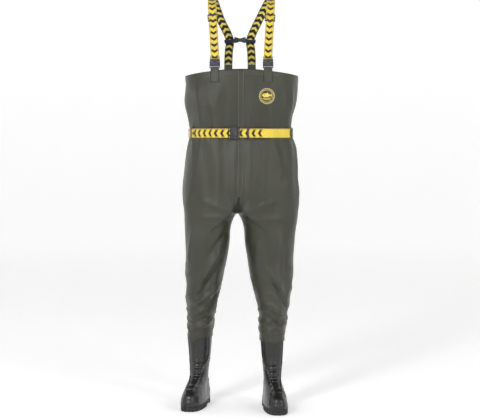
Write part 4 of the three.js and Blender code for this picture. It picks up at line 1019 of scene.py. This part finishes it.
def add_boot(side):
    columns = 160
    angles = turned(columns)
    levels = np.concatenate([np.linspace(0.026, 0.056, 22), np.linspace(0.056, 0.130, 52)[1:],
                             np.linspace(0.130, 0.296, 74)[1:]])
    rings = []
    for height in levels:
        x, y = boot_outline(angles, height)
        out = boot_ribs(x, y, np.full(columns, height), angles, side)
        out = out * (0.3 + 0.7 * smoothstep((0.2965 - height) / 0.002))
        # Over the instep the outline shrinks fast with height, so the detail stands up as well as out.
        on_instep = TOE(height + 0.004) < TOE(height) - 0.004
        lift = out * (0.8 if on_instep else 0.0) * smoothstep((-np.sin(angles) - 0.2) / 0.4)
        rings.append(boot_ring(angles, height, out, height + lift))
    # The rim turns in, and the shaft and foot have an inner face.
    for height in [0.2965] + list(levels[::-4]) + [0.034]:
        wall = 0.0035 if height < 0.2965 else 0.0018
        rings.append(boot_ring(angles, min(height, 0.296), -wall, max(height, 0.034)))
    piece = new_object(side + "_boot", *fanned(rings, side, 0.0005), [BOOT])
    piece.data.set_sharp_from_angle(angle=math.radians(50))
    dressed(piece, side + "_shin", "boot_rubber", side + "_boot_upper")
    add_sole(side, angles)
    add_insole(side)
    refined(side + "_heel_guard", side + "_heel_spur", side + "_shin", SOLE, "sole_rubber", 0.0014)


def add_sole(side, angles):
    """The outsole: a welt, side lugs cut by grooves, a raised arch and chevron tread."""
    x, y = boot_outline(angles, 0.030)
    # How far round the edge, so that the lugs are evenly spaced.
    run = np.concatenate([[0], np.cumsum(np.hypot(np.diff(x), np.diff(y)))])

    def arch_at(along):
        return np.exp(-((along + 0.028) / 0.030) ** 4)

    arch = arch_at(y)
    lug = np.maximum(0.5 + 0.5 * np.sign(np.sin(run * 2 * math.pi / LUG_PITCH)), arch * 0.6)
    # Each row is a height, how far it stands out, and 1 where the grooves between the lugs are cut.
    profile = [(0.0258, -0.001, 0), (0.0258, 0.0022, 0), (0.0248, 0.0030, 0), (0.0222, 0.0030, 0),
               (0.0212, 0.0022, 0), (0.0200, 0.0005, 0), (0.0192, 0.0005, 0), (0.0182, 0.0018, 1),
               (0.0100, 0.0022, 1), (0.0030, 0.0022, 1), (0.0008, 0.0014, 1), (0.0, 0.0, 1)]
    rings = [boot_ring(angles, 0.030, reach - cut * (1 - lug) * 0.0040,
                       level + 0.0060 * arch * (1 - smoothstep(level / 0.012)))
             for level, reach, cut in profile]
    # Beneath: rings that close to the middle, with the tread's grooves pressed up into them.
    for inset in (0.93, 0.86, 0.78, 0.70, 0.62, 0.54, 0.46, 0.38, 0.30, 0.22, 0.14, 0.06):
        cx = x * inset
        cy = y * inset - (1 - inset) * 0.070
        groove = 0.5 - 0.5 * np.sign(np.sin((cy + 0.8 * np.abs(cx)) * 2 * math.pi / LUG_PITCH) + 0.2)
        rings.append(np.stack([cx, cy, 0.0036 * groove * (1 - arch_at(cy)) + 0.0060 * arch_at(cy)], -1))
    verts, faces = fanned(rings, side)
    piece = new_object(side + "_sole", verts, [tuple(reversed(f)) for f in faces], [SOLE])
    piece.data.set_sharp_from_angle(angle=math.radians(32))
    dressed(piece, side + "_shin", "sole_rubber", side + "_outsole")


def add_insole(side):
    angles = turned(72)
    rings = [boot_ring(angles, 0.034, -inset, level)
             for level, inset in ((0.0300, 0.0055), (0.0300, 0.0046), (0.0328, 0.0046), (0.0338, 0.0056))]
    x, y = boot_outline(angles, 0.034)
    rings += [np.stack([x * 0.88 * share, y * 0.97 * share - 0.070 * (1 - share),
                        0.0338 + 0.0006 * (1 - share) + 0 * x], -1) for share in (0.85, 0.7, 0.5, 0.3, 0.12)]
    faces = grid_faces(len(rings), 72, wrap=True) + end_faces(len(rings), 72)
    piece = new_object(side + "_footbed", place_boot(np.concatenate(rings), side), faces, [FELT])
    dressed(piece, side + "_shin", "insole_felt", side + "_insole")


# ------------------------------------------------------------------ braces
BUCKLE_X = 0.109
BAR_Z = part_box("left_buckle_prong")[1].z - 0.0016
LOOP_RADIUS = 0.0035
STRAP_WIDTH = 0.035
STRAP_THICKNESS = 0.0016
STRAIGHT_TOP = (0.120, -0.084, 0.256)
BACK_MIDDLE_X = -0.006


def smooth_curve(points, count):
    """Centripetal Catmull-Rom through points."""
    points = [np.array(p, float) for p in points]
    spans = len(points) - 1
    padded = [2 * points[0] - points[1]] + points + [2 * points[-1] - points[-2]]
    found = []
    for place in np.linspace(0, spans, count + 1):
        k = min(int(place), spans - 1)
        f = place - k
        p0, p1, p2, p3 = padded[k:k + 4]
        d0, d1, d2 = (max(np.linalg.norm(b - a) ** 0.5, 1e-6) for a, b in ((p0, p1), (p1, p2), (p2, p3)))
        t1 = ((p1 - p0) / d0 - (p2 - p0) / (d0 + d1) + (p2 - p1) / d1) * d1
        t2 = ((p2 - p1) / d1 - (p3 - p1) / (d1 + d2) + (p3 - p2) / d2) * d1
        found.append((2 * f**3 - 3 * f**2 + 1) * p1 + (f**3 - 2 * f**2 + f) * t1
                     + (3 * f**2 - 2 * f**3) * p2 + (f**3 - f**2) * t2)
    return found


def strap_path(sign):
    """One brace's run: its sewn end, round the buckle's bar, up the chest, over the shoulder and down to the tab."""
    x = sign * BUCKLE_X
    top = row_of(sign * STRAIGHT_TOP[0], *STRAIGHT_TOP[1:])
    foot = row_of(x, BUCKLE_Y - LOOP_RADIUS, BAR_Z + 0.012)
    behind = foot + BACKWARD * 2 * LOOP_RADIUS
    sewn = behind + 0.2 * (top - foot)
    loop = [row_of(x, BUCKLE_Y + LOOP_RADIUS * math.cos(a), BAR_Z + LOOP_RADIUS * math.sin(a))
            for a in np.radians(np.linspace(0, -180, 9))]
    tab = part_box("left_back_tab")[1]
    pivot = row_of(BACK_MIDDLE_X + sign * 0.050, tab.y - 0.0006, tab.z + 0.0004)
    over = smooth_curve([
        foot + 0.85 * (top - foot), top, (sign * 0.122, -0.040, 0.294), (sign * 0.116, 0.006, 0.296),
        (BACK_MIDDLE_X + sign * 0.082, 0.062, 0.221), (BACK_MIDDLE_X + sign * 0.044, 0.095, 0.136),
        (BACK_MIDDLE_X + sign * 0.048, 0.119, 0.086), pivot + UP * 0.007], 120)[12:]
    run = [foot + f * (top - foot) for f in np.linspace(0, 0.82, 24)]
    return np.array([sewn, (sewn + behind) / 2, behind] + loop + run + over + [pivot])


def add_strap(side, sign):
    centres = strap_path(sign)
    reached = np.concatenate([centres[:1], centres, centres[-1:]])
    along = unit(reached[2:] - reached[:-2])
    across = unit(RIGHT - along * along[:, :1])
    outs = np.cross(across, along)
    piece = band(side + "_brace", centres, across, outs, STRAP_WIDTH, STRAP_THICKNESS, YELLOW, 11)
    mark(piece, [1.0] * len(centres))
    dressed(piece, "harness", "yellow_webbing", side + "_strap")
    # The sewn end: a box of thread with a cross in it, just above the buckle.
    above = [i for i in range(len(centres)) if along[i][2] > 0.9 and centres[i][2] > BAR_Z + 0.013
             and centres[i][1] > BUCKLE_Y - LOOP_RADIUS]
    a, b = above[1], above[5]
    box_stitches(side + "_brace_thread", centres[a], centres[b], across[a], outs[a], STRAP_WIDTH - 0.006,
                 STRAP_THICKNESS / 2, "harness", THREAD_DARK)
    # The webbing's spare end is tucked down behind the buckle's bar and shows in the prong's window.
    low = row_of(sign * BUCKLE_X, BUCKLE_Y + LOOP_RADIUS + STRAP_THICKNESS + 0.0004, BAR_Z - LOOP_RADIUS - 0.0062)
    rows = [low + row_of(0, 0.0006 * math.sin(3 * f), 0.0125 * f) for f in np.linspace(0, 1, 9)]
    strap_end = band(side + "_brace_end", rows, [RIGHT] * 9, [-BACKWARD] * 9, STRAP_WIDTH - 0.002, STRAP_THICKNESS,
                     YELLOW, 11)
    mark(strap_end, [0.0] * 9)
    dressed(strap_end, "harness", "yellow_webbing")


def box_stitches(name, foot, top, across, out, width, lift, body, material):
    """Thread round a box and across its diagonals, on a flat place."""
    half = across * width / 2
    a, b, c, d = foot - half, foot + half, top + half, top - half
    threads = []
    for start, end in ((a, b), (b, c), (c, d), (d, a), (a, c), (b, d)):
        run = np.linalg.norm(end - start)
        count = max(2, int(run / STITCH_PITCH))
        threads += [(start + (end - start) * (i + 0.5) / count + out * lift, out, (end - start) / run)
                    for i in range(count)]
    stitches(name, threads, body, material)


def add_buckle_details():
    """Rounded mouldings in place of the plain ones, with a raised pad and grip lines on each buckle."""
    def moulding(source, name, body, width):
        refined(source, name, body, BUCKLE, "buckle_plastic", width)

    def buckle(prefix, prong_body):
        moulding(prefix + "_buckle_socket", prefix + "_clip_socket", "torso", 0.0010)
        moulding(prefix + "_buckle_prong", prefix + "_clip_prong", prong_body, 0.0008)
        for arm in "ab":
            refined(f"{prefix}_buckle_arm_{arm}", f"{prefix}_clip_arm_{arm}", f"{prefix}_arm_{arm}", RELEASE,
                    "release_plastic", 0.0007)

    for side in SIGNS:
        buckle(side, "harness")
        moulding(side + "_strap_slider", side + "_brace_slider", side + "_strap_slider_body", 0.0007)
    buckle("belt", "belt_prong")
    moulding("belt_slider", "belt_adjuster", "belt_slider_body", 0.0007)
    moulding("back_crosspiece", "back_bow_tie", "harness", 0.0012)
    for side in SIGNS:
        low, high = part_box(side + "_buckle_socket")
        pad(side + "_clip_pad", row_of((low.x + high.x) / 2, low.y + 0.0001, high.z - 0.0085), RIGHT, UP, 0.0085)
    low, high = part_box("belt_buckle_socket")
    pad("belt_clip_pad", row_of(low.x + 0.0085, low.y + 0.0001, BELT_Z), UP, -RIGHT, 0.0095)


def pad(name, centre, right, up, half_width, half_height=0.0062, rise=0.0007):
    """A raised rounded pad with grip ridges, lying on a buckle's front face."""
    count = 25
    verts = []
    for v in np.linspace(-1, 1, count):
        for u in np.linspace(-1, 1, count):
            lift = (1 - u**6) ** 0.5 * (1 - v**6) ** 0.5
            grip = 1 + 0.12 * math.cos(v * 5 * math.pi) * (1 - u**4) * (1 - v**4)
            verts.append(centre + right * u * half_width * (1 - 0.10 * v**4)
                         + up * v * half_height * (1 - 0.10 * u**4) - BACKWARD * rise * lift * grip)
    corner = count * (count - 1)
    border = list(range(count)) + [count * (r + 1) - 1 for r in range(1, count)]
    border += [corner + count - 1 - i for i in range(1, count)] + [count * r for r in range(count - 2, 0, -1)]
    piece = new_object(name, verts, grid_faces(count, count) + [tuple(reversed(border))], [RELEASE])
    dressed(piece, "torso", "release_plastic")


# ------------------------------------------------------------------ tabs and emblem


def add_front_tab(skin, side, sign):
    """A folded tab: it lies on the chest, rises past the hem, and turns over the buckle's bar."""
    low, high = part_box(side + "_front_tab")
    bar_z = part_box(side + "_buckle_socket")[0].z + 0.00175
    half = 0.0185
    radius = high.z - bar_z
    w = np.linspace(-1, 1, 9)
    rows = []
    for z in np.linspace(low.z, -0.006, 16):
        points = [skin.front(sign * (BUCKLE_X + wi * half), z, 0.0)[0] for wi in w]
        rows.append(np.array([[p.x, p.y - 0.0012, p.z] for p in points]))
    turn_rows = [(BUCKLE_Y - min(0.0032, radius), 0.004)] if bar_z > 0.004 else []
    turn_rows += [(BUCKLE_Y - radius * math.cos(a), bar_z + radius * math.sin(a))
                  for a in np.linspace(0, math.pi, 9)]
    turn_rows += [(BUCKLE_Y + radius, bar_z - 0.004)]
    rows += [np.array([[sign * (BUCKLE_X + wi * 0.0170), y, z] for wi in w]) for y, z in turn_rows]
    grid = np.array([row[::sign] for row in rows])
    out = unit(np.cross(np.gradient(grid, axis=1), np.gradient(grid, axis=0)))
    wall = 0.0006 * ((1 - np.abs(w) ** 10) ** 0.5)[None, :, None]
    ring = np.concatenate([grid + out * wall, (grid - out * wall)[:, ::-1][:, 1:-1]], axis=1)
    count, columns = ring.shape[:2]
    piece = new_object(side + "_front_tab_cloth", ring.reshape(-1, 3),
                       grid_faces(count, columns, wrap=True) + end_faces(count, columns), [OLIVE_TAPE])
    dressed(piece, "torso", "olive_tape", side + "_front_tab")
    # Two rows of thread down the edges and three across.
    seams = [(wi, z, UP) for z in np.arange(low.z + 0.004, -0.012, STITCH_PITCH) for wi in (-0.84, 0.84)]
    seams += [(wi, z, RIGHT) for z in (low.z + 0.004, -0.014, low.z + 0.020) for wi in np.arange(-0.74, 0.75, 0.19)]
    threads = []
    for wi, z, way in seams:
        place, normal = skin.front(sign * (BUCKLE_X + wi * half), z, 0.0021)
        threads.append((np.array(place), np.array(normal), way))
    stitches(side + "_front_tab_thread", threads, "torso", THREAD)


def add_back_tab(side):
    low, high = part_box(side + "_back_tab")
    x, y = (low.x + high.x) / 2, high.y - 0.0006
    piece = band(side + "_back_tab_cloth", [(x, y, z) for z in np.linspace(low.z, high.z, 20)], [RIGHT] * 20,
                 [BACKWARD] * 20, STRAP_WIDTH, 0.0012, OLIVE_TAPE)
    piece.data.flip_normals()
    dressed(piece, "torso", "olive_tape", side + "_back_tab")
    foot, top = (row_of(x, y - 0.0006, z) for z in (low.z + 0.006, high.z - 0.010))
    box_stitches(side + "_back_tab_thread", foot, top, RIGHT, -BACKWARD, STRAP_WIDTH - 0.008, 0.0001, "torso", THREAD)


def print_shape(verts, faces, outline):
    """Adds a filled outline, given as (x, z) places round its middle, to a print's mesh."""
    start = len(verts)
    middle = np.mean(outline, axis=0)
    verts.append(tuple(middle))
    for ring in (0.5, 1.0):
        verts.extend(tuple(middle + (np.array(p) - middle) * ring) for p in outline)
    n = len(outline)
    for i in range(n):
        j = (i + 1) % n
        faces.append((start, start + 1 + i, start + 1 + j))
        faces.append((start + 1 + i, start + 1 + n + i, start + 1 + n + j, start + 1 + j))


def print_strip(verts, faces, one_edge, other_edge):
    """Adds the strip between two lines of (x, z) places to a print's mesh."""
    start, n = len(verts), len(one_edge)
    verts += one_edge + other_edge
    faces += [(start + i, start + i + 1, start + n + 1 + i, start + n + i) for i in range(n - 1)]


def arc(radius, start, end, count):
    return [(radius * math.cos(a), radius * math.sin(a)) for a in np.linspace(start, end, count)]


def oval(x, z, half_width, half_height, count):
    return [(x + half_width * a, z + half_height * b) for a, b in arc(1, 0, 2 * math.pi, count + 1)[:-1]]


def lay_print(name, skin, centre, scale, verts, faces, material, offset):
    """Puts a flat print on the chest, with the thickness of the ink. verts are shares of scale."""
    laid = [skin.front(centre[0] + scale * x, centre[1] + scale * z, offset)[0] for x, z in verts]
    faces = [f if facing_front(laid, f) else tuple(reversed(f)) for f in faces]
    return dressed(new_object(name, laid, faces, [material]), "torso", "emblem_print")


def facing_front(points, face):
    a, b, c = (points[i] for i in face[:3])
    return (b - a).cross(c - a).y < 0


def add_emblem(skin):
    """A printed roundel: a dashed cream ring round a plain yellow fish over two waves."""
    low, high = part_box("chest_emblem")
    at = (skin, ((low.x + high.x) / 2, (low.z + high.z) / 2), (high.z - low.z) / 2)
    full = 2 * math.pi
    ground = [p for r in range(13) for p in arc(r / 12, 0, full, 65)[:-1]]
    base = lay_print("emblem_ground", *at, ground, grid_faces(13, 64, wrap=True), OLIVE_TAPE, 0.00025)
    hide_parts("chest_emblem")
    verts, faces = [], []
    dashes = 26
    for start in (full * k / dashes for k in range(dashes)):
        end = start + full / dashes * 0.66
        print_strip(verts, faces, arc(0.95, start, end, 4), arc(0.84, start, end, 4))
    print_strip(verts, faces, arc(0.755, 0, full, 65), arc(0.71, 0, full, 65))
    lay_print("emblem_rings", *at, verts, faces, PRINT_CREAM, 0.00055)
    verts, faces = [], []
    print_shape(verts, faces, [(0.50 * c - 0.06, 0.10 + 0.21 * s * (1 - 0.25 * c)) for c, s in oval(0, 0, 1, 1, 32)])
    print_shape(verts, faces, [(0.40, 0.10), (0.62, 0.34), (0.56, 0.10), (0.62, -0.14)])
    print_shape(verts, faces, [(-0.10, 0.28), (0.10, 0.44), (0.18, 0.26)])
    for level, reach in ((-0.26, 0.50), (-0.42, 0.36)):
        wave = [(x, level + 0.045 * math.sin(x * 17)) for x in np.linspace(-reach, reach, 25)]
        print_strip(verts, faces, [(x, z + 0.035) for x, z in wave], [(x, z - 0.035) for x, z in wave])
    lay_print("emblem_fish", *at, verts, faces, PRINT_YELLOW, 0.00085)
    verts, faces = [], []
    print_shape(verts, faces, oval(-0.38, 0.14, 0.035, 0.035, 12))
    print_shape(verts, faces, oval(-0.26, 0.10, 0.03, 0.13, 16))
    lay_print("emblem_eye", *at, verts, faces, PRINT_DARK, 0.00110)


# ------------------------------------------------------------------ everything in its place
add_camera()
add_stage()
# Painted shadow round the crotch and down the inner legs, in the olive cloth's colour.
paint_inseam_shadow(OLIVE)
suit_verts, suit_normals, skin = add_suit()
add_hem(suit_verts, suit_normals)
add_tapes(skin)
add_belt(skin)
for boot_side in SIGNS:
    add_boot(boot_side)
for strap_side, strap_sign in SIGNS.items():
    add_strap(strap_side, strap_sign)
    add_front_tab(skin, strap_side, strap_sign)
    add_back_tab(strap_side)
add_buckle_details()
add_emblem(skin)
